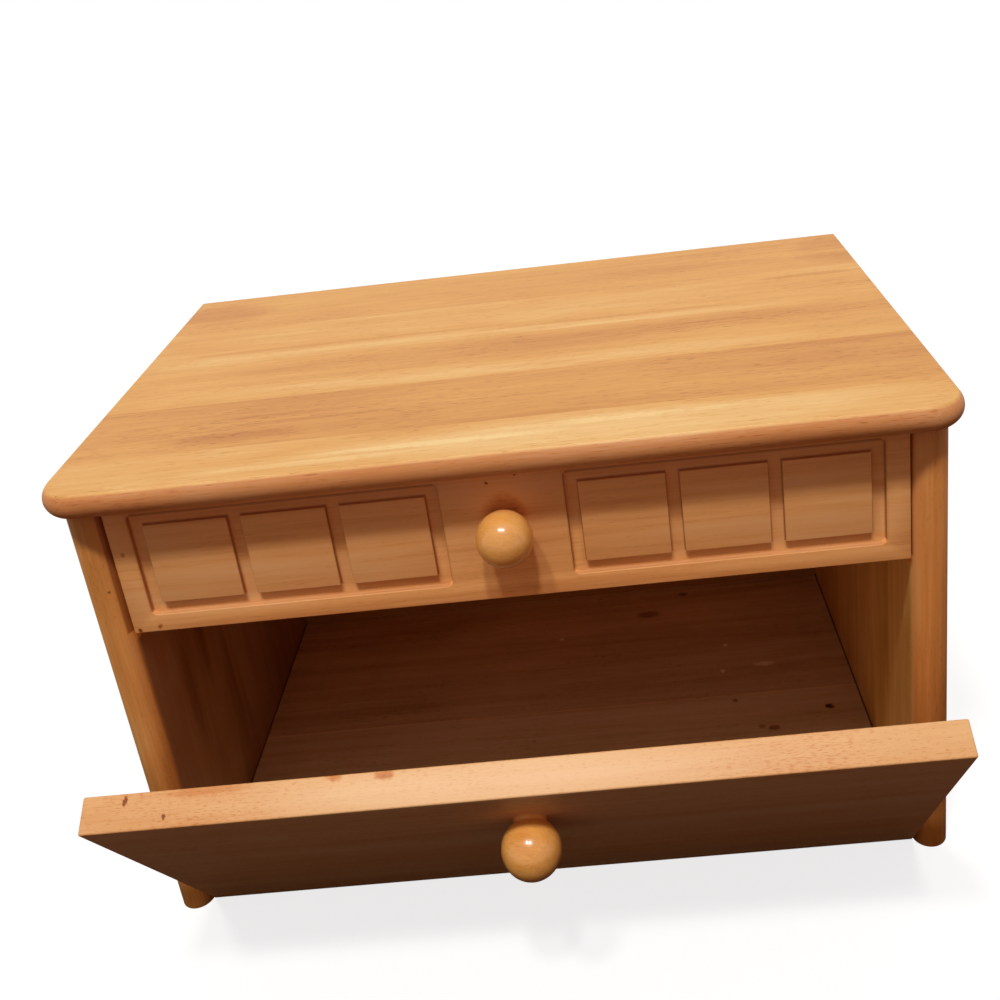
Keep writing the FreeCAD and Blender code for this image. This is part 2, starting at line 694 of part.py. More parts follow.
# ---------------------------------------------------------------------------------------------------
# Drawer
# ---------------------------------------------------------------------------------------------------
def add_square_group(body, side):
    """One sunk band with its three raised squares, left or right of the drawer's knob."""
    sketch = new_sketch(body, "XZ_Plane")
    near = "drawer_half_front - groove_margin_side - groove_group_width"
    far = "drawer_half_front - groove_margin_side"
    bottom = "groove_margin_bottom"
    top = f"{bottom} + groove_group_height"
    left, right = (near, far) if side > 0 else (f"-({far})", f"-({near})")
    add_rectangle(sketch, left, bottom, right, top)
    for index in range(3):
        start = f"{left} + groove_width + {index} * (square_width + groove_width)"
        low = f"{bottom} + groove_width"
        add_rectangle(
            sketch, start, low, f"{start} + square_width", f"{low} + square_height"
        )
    pocket(body, sketch, "groove_depth")
    band_left, band_right = sorted(
        side * edge
        for edge in (
            size("drawer_half_front") - size("groove_margin_side"),
            size("drawer_half_front") - size("groove_margin_side") - size("groove_group_width"),
        )
    )

    def is_band_corner(edge):
        box = edge.BoundBox
        upright = box.XLength < 0.01 and box.ZLength < 0.01 and box.YLength > 0.5
        at_end = min(abs(box.XMin - band_left), abs(box.XMin - band_right)) < 0.01
        return upright and at_end and box.YMax < size("groove_depth") + 0.1

    round_edges(body, "groove_corner_radius", is_band_corner)


def make_drawer_front():
    """The drawer front, with two groups of three raised squares."""
    body = new_body("drawer_front", y="drawer_setback", z="drawer_front_bottom")
    outline = new_sketch(body, "XY_Plane")
    add_rectangle(
        outline, "-drawer_half_front", "0", "drawer_half_front", "drawer_front_thickness"
    )
    pad(body, outline, "drawer_front_height")
    back = size("drawer_front_thickness")
    round_edges(body, "edge_easing", lambda edge: edge.BoundBox.YMax < back - 0.1)
    for side in (-1, 1):
        add_square_group(body, side)
    screw_hole = new_sketch(body, "XZ_Plane")
    add_circle(screw_hole, "0", "knob_height_on_drawer", "screw_radius")
    pocket(body, screw_hole, "drawer_front_thickness")
    bottom_groove = new_sketch(body, "XZ_Plane", "-drawer_front_thickness")
    add_rectangle(
        bottom_groove,
        "-drawer_groove_half_width", "drawer_groove_height",
        "drawer_groove_half_width", "drawer_groove_height + drawer_bottom_thickness",
    )
    pocket(body, bottom_groove, "drawer_groove_depth", reverse=True)
    dowel_holes = new_sketch(body, "XZ_Plane", "-drawer_front_thickness")
    for sign in SIDES:
        for z in DRAWER_DOWEL_ROW:
            add_circle(
                dowel_holes,
                f"{sign}(drawer_half_box - drawer_side_thickness / 2)",
                f"{z} + drawer_side_bottom - drawer_front_bottom",
                "drawer_dowel_radius",
            )
    pocket(body, dowel_holes, "drawer_dowel_in_front", reverse=True)
    return body


def make_drawer_side_left():
    """A drawer side, grooved for the bottom. Its sketches count X from the case's middle."""
    body = new_body("drawer_side_left", y="drawer_side_front", z="drawer_side_bottom")
    outline = new_sketch(body, "XY_Plane")
    add_rectangle(outline, "-drawer_half_box", "0", "-drawer_half_inside", "drawer_length")
    pad(body, outline, "drawer_side_height")
    groove = new_sketch(body, "YZ_Plane", "-drawer_half_inside")
    add_rectangle(
        groove, "0", "drawer_bottom_height", "drawer_length",
        "drawer_bottom_height + drawer_bottom_thickness",
    )
    pocket(body, groove, "drawer_groove_depth")
    dowel_holes = new_sketch(body, "XZ_Plane")
    for z in DRAWER_DOWEL_ROW:
        add_circle(
            dowel_holes,
            "-(drawer_half_box - drawer_side_thickness / 2)", z, "drawer_dowel_radius",
        )
    pocket(body, dowel_holes, "drawer_dowel_in_side")
    brad_holes = new_sketch(body, "YZ_Plane", "-drawer_half_box")
    for z in DRAWER_BRAD_ROW:
        add_circle(
            brad_holes, "drawer_back_front + drawer_side_thickness / 2", z, "brad_radius"
        )
    pocket(body, brad_holes, "drawer_side_thickness", reverse=True)
    return body


def make_drawer_back():
    """The drawer's back, between the sides and on top of the bottom."""
    body = new_body(
        "drawer_back",
        y="drawer_side_front + drawer_back_front", z="drawer_side_bottom + drawer_back_bottom",
    )
    outline = new_sketch(body, "XY_Plane")
    add_rectangle(
        outline, "-drawer_half_inside", "0", "drawer_half_inside", "drawer_side_thickness"
    )
    pad(body, outline, "drawer_back_height")
    for sign, reverse in (("", False), ("-", True)):
        holes = new_sketch(body, "YZ_Plane", f"{sign}drawer_half_inside")
        for z in DRAWER_BRAD_ROW:
            add_circle(
                holes, "drawer_side_thickness / 2", f"{z} - drawer_back_bottom", "brad_radius"
            )
        pocket(body, holes, "brad_length - drawer_side_thickness", reverse=reverse)
    under = new_sketch(body, "XY_Plane")
    for x in DRAWER_BOTTOM_BRAD_ROW:
        add_circle(under, x, "drawer_side_thickness / 2", "brad_radius")
    pocket(body, under, "brad_length - drawer_bottom_thickness", reverse=True)
    return body


def make_drawer_bottom():
    """The thin bottom, in the grooves of front and sides and under the back."""
    body = new_body("drawer_bottom", y="drawer_side_front", z="drawer_bottom_z")
    half_width = "drawer_groove_half_width - drawer_groove_end_gap"
    outline = new_sketch(body, "XY_Plane")
    add_rectangle(
        outline,
        f"-({half_width})", "drawer_groove_end_gap - drawer_groove_depth",
        half_width, "drawer_length",
    )
    pad(body, outline, "drawer_bottom_thickness")
    holes = new_sketch(body, "XY_Plane")
    for x in DRAWER_BOTTOM_BRAD_ROW:
        add_circle(holes, x, "drawer_back_front + drawer_side_thickness / 2", "brad_radius")
    pocket(body, holes, "drawer_bottom_thickness", reverse=True)
    return body


def make_drawer_dowels():
    """Four hidden dowels between the drawer front and the drawer sides."""
    rods = []
    for sign in SIDES:
        for z in DRAWER_DOWEL_ROW:
            rods.append(
                add_rod(
                    "drawer_dowel", "drawer_dowel_radius",
                    "drawer_dowel_in_front + drawer_dowel_in_side", "+Y",
                    f"{sign}(drawer_half_box - drawer_side_thickness / 2)",
                    "drawer_side_front - drawer_dowel_in_front",
                    f"{z} + drawer_side_bottom",
                )
            )
    return group_of("drawer_dowels", rods)


def make_drawer_brads():
    """Brads through the sides and the bottom into the drawer's back."""
    y = "drawer_side_front + drawer_back_front + drawer_side_thickness / 2"
    rods = []
    for sign, direction in (("", "-X"), ("-", "+X")):
        for z in DRAWER_BRAD_ROW:
            rods.append(
                add_rod(
                    "drawer_brad", "brad_radius", "brad_length", direction,
                    f"{sign}drawer_half_box", y, f"{z} + drawer_side_bottom",
                )
            )
    for x in DRAWER_BOTTOM_BRAD_ROW:
        rods.append(
            add_rod("drawer_brad", "brad_radius", "brad_length", "+Z", x, y, "drawer_bottom_z")
        )
    return group_of("drawer_brads", rods)


def make_drawer_knob_and_screw():
    """The drawer's knob and the screw behind it."""
    knob = make_knob("drawer_knob")
    screw = make_knob_screw("drawer_knob_screw", "drawer_front_thickness")
    for item, y in ((knob, "drawer_setback"), (screw, "drawer_side_front")):
        item.setExpression("Placement.Base.y", sized(f"{y} - case_middle"))
        item.setExpression(
            "Placement.Base.z", sized("drawer_front_bottom + knob_height_on_drawer")
        )
    doc.recompute()
    return [knob, screw]


# ---------------------------------------------------------------------------------------------------
# Build, check and write
# ---------------------------------------------------------------------------------------------------
def make_all():
    """Every sub-part, in the order of assembly."""
    side_left = make_side_panel_left()
    parts = [make_top_board(), side_left, mirrored("side_panel_right", side_left)]
    parts += [make_floor_panel(), make_back_panel(), make_drawer_shelf(), make_catch_magnet()]
    parts += [make_top_dowels(), make_floor_brads(), make_back_brads()]
    parts += [make_flap_door()] + make_flap_pins() + make_flap_fittings()
    drawer_left = make_drawer_side_left()
    parts += [make_drawer_front(), drawer_left, mirrored("drawer_side_right", drawer_left)]
    parts += [make_drawer_back(), make_drawer_bottom()]
    parts += [make_drawer_dowels(), make_drawer_brads()] + make_drawer_knob_and_screw()
    return parts


def check(parts):
    """Stops if any object of the document failed or any sub-part has no valid shape."""
    doc.recompute()
    for item in doc.Objects:
        if {"Invalid", "Error"} & set(item.State):
            raise RuntimeError(f"{item.Label} failed: {item.State}")
    for part in parts:
        if part.Shape.isNull() or not part.Shape.isValid() or not part.Shape.Solids:
            raise RuntimeError(f"{part.Label} has no valid shape")


def write(parts):
    """Writes each sub-part to its own STEP file and prints what it is."""
    os.makedirs("parts", exist_ok=True)
    for part in parts:
        part.Shape.exportStep(f"parts/{part.Label}.step")
        box = part.Shape.BoundBox
        print(
            f"{part.Label:20s} solids {len(part.Shape.Solids):2d}"
            f"  volume {part.Shape.Volume / 1000:9.2f} cm3"
            f"  x {box.XMin:7.1f} {box.XMax:7.1f}"
            f"  y {box.YMin:7.1f} {box.YMax:7.1f}  z {box.ZMin:6.1f} {box.ZMax:6.1f}"
        )


def swing_report():
    """Prints how far the flap can go down before its knob meets the table."""
    knob_out = size("flap_thickness") / 2 + size("knob_reach")
    arm = math.hypot(size("flap_knob_height"), knob_out)
    lean = math.degrees(math.atan2(knob_out, size("flap_knob_height")))
    spare = size("flap_axis_z") - size("knob_radius")
    lowest = math.degrees(math.acos(-spare / arm)) - lean
    print(f"flap: closed 0, rest {size('flap_open_angle'):.1f}, knob on the table {lowest:.2f} degrees")
    corner = math.hypot(size("flap_thickness") / 2, size("flap_axis_height"))
    print(f"flap: lower edge swings at {corner:.2f} mm, axis {size('flap_axis_z'):.2f} mm up")


all_parts = make_all()
check(all_parts)
write(all_parts)
swing_report()
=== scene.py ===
# %% [markdown]
# # A wooden bread box with a drawer
#
# This lesson dresses a finished CAD model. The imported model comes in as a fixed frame, in metres,
# with the origin on the table under the middle of the case: X runs to the right, Y to the back and
# Z up. The boards with rounded or routed edges are modelled again with smooth faces, the rest
# keeps its CAD mesh, and every surface gets a procedural finish.

# %% Load the frame
import json
import math

import bmesh
import bpy
from mathutils import Matrix, Vector


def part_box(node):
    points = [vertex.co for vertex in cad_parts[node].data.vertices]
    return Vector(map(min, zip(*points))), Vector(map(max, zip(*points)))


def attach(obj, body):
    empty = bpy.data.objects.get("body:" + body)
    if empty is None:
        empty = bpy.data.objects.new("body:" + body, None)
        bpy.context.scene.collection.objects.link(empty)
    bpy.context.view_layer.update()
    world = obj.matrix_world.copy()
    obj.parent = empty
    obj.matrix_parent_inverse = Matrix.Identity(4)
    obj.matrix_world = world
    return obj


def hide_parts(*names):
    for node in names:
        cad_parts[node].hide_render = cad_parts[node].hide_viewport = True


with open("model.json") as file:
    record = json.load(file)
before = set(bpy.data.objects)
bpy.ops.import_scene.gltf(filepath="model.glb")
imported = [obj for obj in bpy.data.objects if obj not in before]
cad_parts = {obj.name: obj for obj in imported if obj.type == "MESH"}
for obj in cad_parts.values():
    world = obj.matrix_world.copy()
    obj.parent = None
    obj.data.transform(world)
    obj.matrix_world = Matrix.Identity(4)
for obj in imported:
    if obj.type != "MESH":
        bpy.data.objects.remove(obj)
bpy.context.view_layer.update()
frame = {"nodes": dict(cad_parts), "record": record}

# %% [markdown]
# ## Sizes
#
# A joiner's drawing comes first. The sizes are in millimetres, as on the drawing, and `at` turns
# them into the metres that Blender uses. The boxes of the CAD's back panel and floor place the side
# panels' rabbets.

# %% Sizes in millimetres
TOP_WIDTH, TOP_THICKNESS, TOP_CORNER = 430.0, 12.0, 20.0
TOP_EDGE = 2.7            # how far the shaped edge curves in, above and below
CASE_FRONT, CASE_BACK = -131.0, 131.0
TOP_FRONT, TOP_UNDERSIDE = -143.2, 249.5
SIDE_INNER, SIDE_OUTER = 190.7, 208.5
DRAWER_FACE, DRAWER_FRONT_BACK = -127.4, -114.8
DRAWER_HALF_WIDTH, DRAWER_BOTTOM, DRAWER_TOP = 190.1, 176.2, 248.5
SQUARE_WIDTH, SQUARE_HEIGHT = 41.0, 43.1
BAND_WIDTH, BAND_DEPTH, BAND_CORNER = 6.6, 2.5, 3.0
BAND_MARGIN_SIDE, BAND_MARGIN_BOTTOM = 11.2, 9.4
FLAP_HALF_WIDTH, FLAP_THICKNESS, FLAP_HEIGHT, FLAP_LIFT = 190.3, 15.8, 172.0, 3.8
FLAP_FACE = CASE_FRONT + 0.2
TOP_FACE = TOP_UNDERSIDE + TOP_THICKNESS
BAND_FLOOR = DRAWER_FACE + BAND_DEPTH
FLOOR_FACE = 4.5
HINGE_Y, HINGE_Z, FLAP_TILT = FLAP_FACE + FLAP_THICKNESS / 2, 11.0, 34.9
KNOB_RADIUS, KNOB_REACH, KNOB_NECK = 13.5, 13.0, 7.6
DRAWER_KNOB_Z = DRAWER_BOTTOM + 40.3
FLAP_KNOB_Z = FLAP_LIFT + FLAP_HEIGHT - 40.0


def at(x, y, z):
    """A place or a size in metres, from millimetres."""
    return Vector((x, y, z)) / 1000


HINGE = at(0, HINGE_Y, HINGE_Z)
print("hinge at", [round(v, 4) for v in HINGE])

# %% [markdown]
# ## Working as by hand
#
# An operator acts on all that is selected. So one helper makes a piece the only selected one, and
# another selects faces, edges or corners by their place, as a click would.

# %% Helpers for selecting
PICKED = {"VERT": "verts", "EDGE": "edges", "FACE": "faces"}


def deselect():
    """Leaves nothing selected, so that an operator acts on what comes next alone."""
    bpy.ops.object.select_all(action="DESELECT")


def only(piece):
    """Makes one piece the selected and active one."""
    deselect()
    piece.select_set(True)
    bpy.context.view_layer.objects.active = piece


def middle(part):
    """The middle of a corner, an edge or a face."""
    if isinstance(part, bmesh.types.BMVert):
        return part.co
    return sum((corner.co for corner in part.verts), Vector()) / len(part.verts)


def pick(piece, kind, wanted):
    """In edit mode, selects what the test wants, and returns how many that is."""
    bpy.ops.mesh.select_mode(type=kind)
    bpy.ops.mesh.select_all(action="DESELECT")
    mesh = bmesh.from_edit_mesh(piece.data)
    chosen = [part for part in getattr(mesh, PICKED[kind]) if wanted(part)]
    for part in chosen:
        part.select_set(True)
    mesh.select_flush_mode()
    bmesh.update_edit_mesh(piece.data)
    return len(chosen)


def near(value, goal):
    """True where a length in metres is within 0.05 mm of the goal in millimetres."""
    return abs(value * 1000 - goal) < 0.05


deselect()
print("nothing is selected now")


# %% Helpers for blocks and modifiers
def block(name, low, high):
    """A sawn block between two corners, with its place in its mesh."""
    bpy.ops.mesh.primitive_cube_add(size=1, location=(low + high) / 2)
    piece = bpy.context.object
    piece.name = name
    piece.scale = high - low
    bpy.ops.object.transform_apply(location=True, rotation=True, scale=True)
    return piece


def apply(piece, kind, **settings):
    """Adds a modifier, sets it and applies it."""
    only(piece)
    modifier = piece.modifiers.new(kind.lower(), kind)
    for key, value in settings.items():
        setattr(modifier, key, value)
    bpy.ops.object.modifier_apply(modifier=modifier.name)


def ease(piece, millimetres, segments=3):
    """Takes the sharpness off every edge, as sanding does."""
    apply(piece, "BEVEL", width=millimetres / 1000, segments=segments, limit_method="ANGLE",
          angle_limit=math.radians(40), harden_normals=False)


def smooth(piece, degrees=30):
    """Shades round where the faces turn gently, and keeps the corners crisp."""
    only(piece)
    bpy.ops.object.shade_smooth_by_angle(angle=math.radians(degrees))


print("helpers are ready")

# %% [markdown]
# ## The top board
#
# A panel of glued staves, 12 mm thick, whose front and side edges are shaped with a router. Its
# front corners are rounded in plan, and its back edge is square. One way is to bevel a block, but
# a bevel always meets the top face smoothly, and this edge keeps a faint line there. So the
# outline is drawn at half height and inset in small steps that climb along the curve of the edge.

# %% The top board's outline
bpy.ops.mesh.primitive_plane_add(size=1)
top = bpy.context.object
top.name = "top_panel"
spare = 20.0              # more wood at the back, cut off square at the end
top.scale = at(TOP_WIDTH, CASE_BACK + spare - TOP_FRONT, 1000)
top.location = at(0, (CASE_BACK + spare + TOP_FRONT) / 2, 0)
bpy.ops.object.transform_apply(location=True, rotation=False, scale=True)
bpy.ops.object.mode_set(mode="EDIT")
pick(top, "VERT", lambda corner: near(corner.co.y, TOP_FRONT))
bpy.ops.mesh.bevel(affect="VERTICES", offset=TOP_CORNER / 1000, segments=20, profile=0.5)
print("outline corners:", len(bmesh.from_edit_mesh(top.data).verts))

# %% The shaped edge
edge_radius = (TOP_THICKNESS ** 2 / 4 + TOP_EDGE ** 2) / (2 * TOP_EDGE)
edge_angle = math.asin(TOP_THICKNESS / 2 / edge_radius)
edge_steps = 12
pick(top, "FACE", lambda face: True)
for step in range(edge_steps):
    before, after = (edge_angle * n / edge_steps for n in (step, step + 1))
    inward = edge_radius * (math.cos(before) - math.cos(after))
    upward = edge_radius * (math.sin(after) - math.sin(before))
    bpy.ops.mesh.inset(thickness=inward / 1000, depth=upward / 1000, use_even_offset=True)
bpy.ops.object.mode_set(mode="OBJECT")
apply(top, "MIRROR", use_axis=(False, False, True), merge_threshold=0.00001)
top.location = at(0, 0, TOP_UNDERSIDE + TOP_THICKNESS / 2)
bpy.ops.object.transform_apply(location=True, rotation=False, scale=False)
print("edge radius in mm:", round(edge_radius, 2))

# %% The square back edge
only(top)
bpy.ops.object.mode_set(mode="EDIT")
bpy.ops.mesh.select_all(action="SELECT")
bpy.ops.mesh.bisect(
    plane_co=at(0, CASE_BACK, 0), plane_no=(0, 1, 0), clear_outer=True, use_fill=True
)
bpy.ops.mesh.select_all(action="SELECT")
bpy.ops.mesh.normals_make_consistent(inside=False)
bpy.ops.object.mode_set(mode="OBJECT")
smooth(top, 12)
print("top board faces:", len(top.data.polygons))

# %% [markdown]
# ## The side panels
#
# Each side panel stands on the table. Its front edge is a half round, and its back and lower inner
# edges have a rabbet that takes the back panel and the floor. The half round is a bevel as wide as
# half the thickness, and the rabbets are cut with blocks, as a saw would. One panel is made and
# mirrored.


# %% One side panel
def cut(piece, low, high):
    """Takes a block out of a piece."""
    tool = block("saw", low, high)
    apply(piece, "BOOLEAN", operation="DIFFERENCE", object=tool, solver="EXACT")
    bpy.data.objects.remove(tool)


deselect()
left = block("left_side", at(-SIDE_OUTER, CASE_FRONT, 0), at(-SIDE_INNER, CASE_BACK, TOP_UNDERSIDE))
bpy.ops.object.mode_set(mode="EDIT")
half_round = (SIDE_OUTER - SIDE_INNER) / 2
pick(left, "EDGE",
     lambda edge: near(middle(edge).y, CASE_FRONT) and near(middle(edge).z, TOP_UNDERSIDE / 2))
bpy.ops.mesh.bevel(offset=(half_round - 0.01) / 1000, segments=14, profile=0.5)
bpy.ops.object.mode_set(mode="OBJECT")
back_low, back_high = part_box("back_panel")
floor_low, floor_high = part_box("floor_panel")
cut(left, back_low - at(0.2, 0, 10), back_high + at(0, 5, 10))
cut(left, floor_low - at(0.2, 0, 10), floor_high + at(0, 10, 0))
ease(left, 0.5, 2)
smooth(left, 30)
print("left side faces:", len(left.data.polygons))

# %% Its mirror image
right = left.copy()
right.data = left.data.copy()
right.name = "right_side"
bpy.context.collection.objects.link(right)
right.scale.x = -1
only(right)
bpy.ops.object.transform_apply(location=False, rotation=False, scale=True)
bpy.ops.object.mode_set(mode="EDIT")
bpy.ops.mesh.select_all(action="SELECT")
bpy.ops.mesh.normals_make_consistent(inside=False)
bpy.ops.object.mode_set(mode="OBJECT")
smooth(right, 30)
print("right side made from the left one")

# %% [markdown]
# ## The drawer front
#
# A board with two groups of three raised squares. On the real one a router sank a band round the
# squares, 2.5 mm deep. Here the front is cut along the lines of the band with bisect, and the
# faces that lie in the band are pushed in. The outer corners of the band are as round as the
# router bit leaves them.

# %% Cut lines on the board
deselect()
front = block(
    "drawer_face",
    at(-DRAWER_HALF_WIDTH, DRAWER_FACE, DRAWER_BOTTOM),
    at(DRAWER_HALF_WIDTH, DRAWER_FRONT_BACK, DRAWER_TOP),
)
group_width = 3 * SQUARE_WIDTH + 4 * BAND_WIDTH
group_far = DRAWER_HALF_WIDTH - BAND_MARGIN_SIDE
group_near = group_far - group_width
pitch = SQUARE_WIDTH + BAND_WIDTH
square_starts = [group_near + BAND_WIDTH + number * pitch for number in range(3)]
right_lines = [group_near, group_far] + square_starts
right_lines += [start + SQUARE_WIDTH for start in square_starts]
band_low = DRAWER_BOTTOM + BAND_MARGIN_BOTTOM
square_low = band_low + BAND_WIDTH
square_high = square_low + SQUARE_HEIGHT
band_high = square_high + BAND_WIDTH
cuts = [(line, 0, (1, 0, 0)) for line in right_lines + [-line for line in right_lines]]
cuts += [(0, line, (0, 0, 1)) for line in (band_low, square_low, square_high, band_high)]
bpy.ops.object.mode_set(mode="EDIT")
for x, z, normal in cuts:
    bpy.ops.mesh.select_all(action="SELECT")
    bpy.ops.mesh.bisect(plane_co=at(x, 0, z), plane_no=normal)
print("cut lines:", len(cuts))


# %% Sink the band
def in_band(face):
    """True for a face of the front that the router takes away."""
    centre = middle(face) * 1000
    side = abs(centre.x) - group_near
    if not near(centre.y / 1000, DRAWER_FACE) or not 0 < side < group_width:
        return False
    if not band_low < centre.z < band_high:
        return False
    in_square = (side - BAND_WIDTH) % pitch < SQUARE_WIDTH and side > BAND_WIDTH
    return not (in_square and square_low < centre.z < square_high)


print("faces in the band:", pick(front, "FACE", in_band))
bpy.ops.mesh.extrude_region_move(TRANSFORM_OT_translate={"value": at(0, BAND_DEPTH, 0)})


def band_corner(edge):
    """True for the four outer corners of each band."""
    centre = middle(edge) * 1000
    across = min(abs(abs(centre.x) - group_near), abs(abs(centre.x) - group_far))
    upright = min(abs(centre.z - band_low), abs(centre.z - band_high))
    half_way = abs(centre.y - DRAWER_FACE - BAND_DEPTH / 2) < 0.1
    return across < 0.05 and upright < 0.05 and half_way


print("outer corners:", pick(front, "EDGE", band_corner))
bpy.ops.mesh.bevel(offset=BAND_CORNER / 1000, segments=6, profile=0.5, clamp_overlap=False)


# %% Rub out the cut lines
def spare_line(edge):
    """True for a line within a flat face, apart from one that joins a hole in it to its rim."""
    place = middle(edge)
    faces_front = near(place.y, DRAWER_FACE) or near(place.y, BAND_FLOOR)
    under_square = any(near(abs(place.x), start) for start in square_starts)
    joins = faces_front and under_square and place.z * 1000 < square_low
    return edge.calc_face_angle(1.0) < math.radians(0.5) and not joins


print("lines rubbed out:", pick(front, "EDGE", spare_line))
bpy.ops.mesh.dissolve_edges(use_verts=True)
bpy.ops.object.mode_set(mode="OBJECT")

# %% Sand its edges
ease(front, 0.45, 3)
smooth(front, 35)
print("drawer front faces:", len(front.data.polygons))

# %% [markdown]
# ## The flap
#
# A plain board that turns on two steel pins near its lower edge. It is drawn shut, where it is
# easy to measure, and then tilted about the pins. `transform.rotate` turns the other way when
# Blender has no window, so the angle is given with the opposite sign, and the hinge is its centre.


# %% The flap board
def tilt(piece):
    """Turns a piece of the shut flap to where the flap rests."""
    only(piece)
    bpy.ops.object.mode_set(mode="EDIT")
    bpy.ops.mesh.select_all(action="SELECT")
    bpy.ops.transform.rotate(value=-math.radians(FLAP_TILT), orient_axis="X", center_override=HINGE)
    bpy.ops.object.mode_set(mode="OBJECT")


deselect()
flap = block(
    "flap_board",
    at(-FLAP_HALF_WIDTH, FLAP_FACE, FLAP_LIFT),
    at(FLAP_HALF_WIDTH, FLAP_FACE + FLAP_THICKNESS, FLAP_LIFT + FLAP_HEIGHT),
)
ease(flap, 0.8, 4)
tilt(flap)
smooth(flap, 35)
cad_flap_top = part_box("flap_door")[1].z
print("highest corner in mm, board and CAD:",
      round(max(v.co.z for v in flap.data.vertices) * 1000, 2), round(cad_flap_top * 1000, 2))

# %% [markdown]
# ## The two knobs
#
# Turned balls with a short neck that stands on the wood. The ball starts as a sphere whose pole
# points forward, is cut where the neck begins, and the open ring is drawn back to the wood. One
# knob is finished at the drawer, and its copy goes to the flap.

# %% The drawer's knob
deselect()
bpy.ops.mesh.primitive_uv_sphere_add(
    segments=64, ring_count=40, radius=KNOB_RADIUS / 1000, rotation=(math.radians(90), 0, 0)
)
knob = bpy.context.object
knob.name = "drawer_ball"
bpy.ops.object.transform_apply(location=False, rotation=True, scale=False)
neck_start = math.sqrt(KNOB_RADIUS ** 2 - KNOB_NECK ** 2)
bpy.ops.object.mode_set(mode="EDIT")
bpy.ops.mesh.select_all(action="SELECT")
bpy.ops.mesh.bisect(plane_co=at(0, neck_start, 0), plane_no=(0, 1, 0), clear_outer=True)
pick(knob, "EDGE", lambda edge: edge.is_boundary)
bpy.ops.mesh.extrude_edges_move(TRANSFORM_OT_translate={"value": at(0, KNOB_REACH - neck_start, 0)})
bpy.ops.mesh.edge_face_add()
bpy.ops.mesh.select_all(action="SELECT")
bpy.ops.mesh.normals_make_consistent(inside=False)
bpy.ops.transform.translate(value=at(0, DRAWER_FACE - KNOB_REACH, DRAWER_KNOB_Z))
bpy.ops.object.mode_set(mode="OBJECT")
smooth(knob, 40)
print("knob faces:", len(knob.data.polygons))

# %% The flap's knob
flap_knob = knob.copy()
flap_knob.data = knob.data.copy()
flap_knob.name = "flap_ball"
bpy.context.collection.objects.link(flap_knob)
only(flap_knob)
bpy.ops.object.mode_set(mode="EDIT")
bpy.ops.mesh.select_all(action="SELECT")
bpy.ops.transform.translate(value=at(0, FLAP_FACE - DRAWER_FACE, FLAP_KNOB_Z - DRAWER_KNOB_Z))
bpy.ops.object.mode_set(mode="OBJECT")
tilt(flap_knob)
cad_ball_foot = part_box("flap_knob")[0].z
print("lowest point in mm, ball and CAD:",
      round(min(v.co.z for v in flap_knob.data.vertices) * 1000, 2), round(cad_ball_foot * 1000, 2))

# %% [markdown]
# ## What each piece rides on
#
# Every new piece moves with a body of the CAD model, stands for the node of the same shape, and
# takes its finish from that node's slot.

# %% Ride, replace and slot
PIECES = (
    (top, "case", "top_board", "top_wood"),
    (left, "case", "side_panel_left", "side_wood"),
    (right, "case", "side_panel_right", "side_wood"),
    (front, "drawer", "drawer_front", "front_wood"),
    (knob, "drawer", "drawer_knob", "knob_wood"),
    (flap, "flap", "flap_door", "flap_wood"),
    (flap_knob, "flap", "flap_knob", "knob_wood"),
)
for piece, body, node, slot in PIECES:
    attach(piece, body)
    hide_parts(node)
print("new pieces:", [piece.name for piece, *_ in PIECES])

# %% [markdown]
# ## Colours and nodes
#
# Colours are written as sRGB hex, as a colour picker shows them, and turned to linear light by one
# function. One small function adds a node, its settings and its links.


# %% Colour and node helpers
def rgb(code):
    """A linear colour from an sRGB hex code."""
    parts = [int(code[i:i + 2], 16) / 255 for i in (0, 2, 4)]
    return [c / 12.92 if c <= 0.04045 else ((c + 0.055) / 1.055) ** 2.4 for c in parts] + [1.0]


def add(tree, kind, inputs=None, **settings):
    """Adds a node. An input is given by name or number, as a value or as another node's socket."""
    node = tree.nodes.new(kind)
    for key, value in settings.items():
        setattr(node, key, value)
    for name, value in (inputs or {}).items():
        if isinstance(value, bpy.types.NodeSocket):
            tree.links.new(value, node.inputs[name])
        else:
            node.inputs[name].default_value = value
    return node


def ramp(tree, value, stops, interpolation="LINEAR"):
    """A colour ramp through hex colours or grey levels."""
    node = add(tree, "ShaderNodeValToRGB", {"Fac": value})
    node.color_ramp.interpolation = interpolation
    while len(node.color_ramp.elements) < len(stops):
        node.color_ramp.elements.new(1.0)
    for element, (place, colour) in zip(node.color_ramp.elements, stops):
        element.position = place
        element.color = rgb(colour) if isinstance(colour, str) else (colour, colour, colour, 1)
    return node.outputs["Color"]


print("mid honey is", [round(c, 3) for c in rgb("e8af6d")[:3]])

# %% [markdown]
# ## Lacquered rubberwood
#
# The boards are rubberwood under a clear satin lacquer: a pale honey wood with broad soft figure,
# fine lengthwise fibre and short dark pore dashes, glued from staves about 57 mm wide, each with
# its own tone. The finish is built from Object coordinates in millimetres, turned so that X runs
# along the grain and Y across the staves. Noise stretched along X gives the figure and the fibre,
# and a second noise with its peaks cut off gives the pores. Real pores are about 0.2 mm wide and
# the fibre is finer still, so both are drawn two to four times as coarse, or they would not show.


# %% Coordinates along the grain
def stretched(tree, point, along, across, detail, offset=0.0, distortion=0.0):
    """Noise whose features are about so many millimetres long and wide."""
    scaled = add(tree, "ShaderNodeMapping", {
        "Vector": point,
        "Scale": (1 / along, 1 / across, 1 / across),
        "Location": (offset, offset, offset),
    })
    noise = add(tree, "ShaderNodeTexNoise", {
        "Vector": scaled.outputs["Vector"], "Scale": 1.0, "Detail": detail,
        "Roughness": 0.55, "Distortion": distortion,
    })
    return noise.outputs["Fac"]


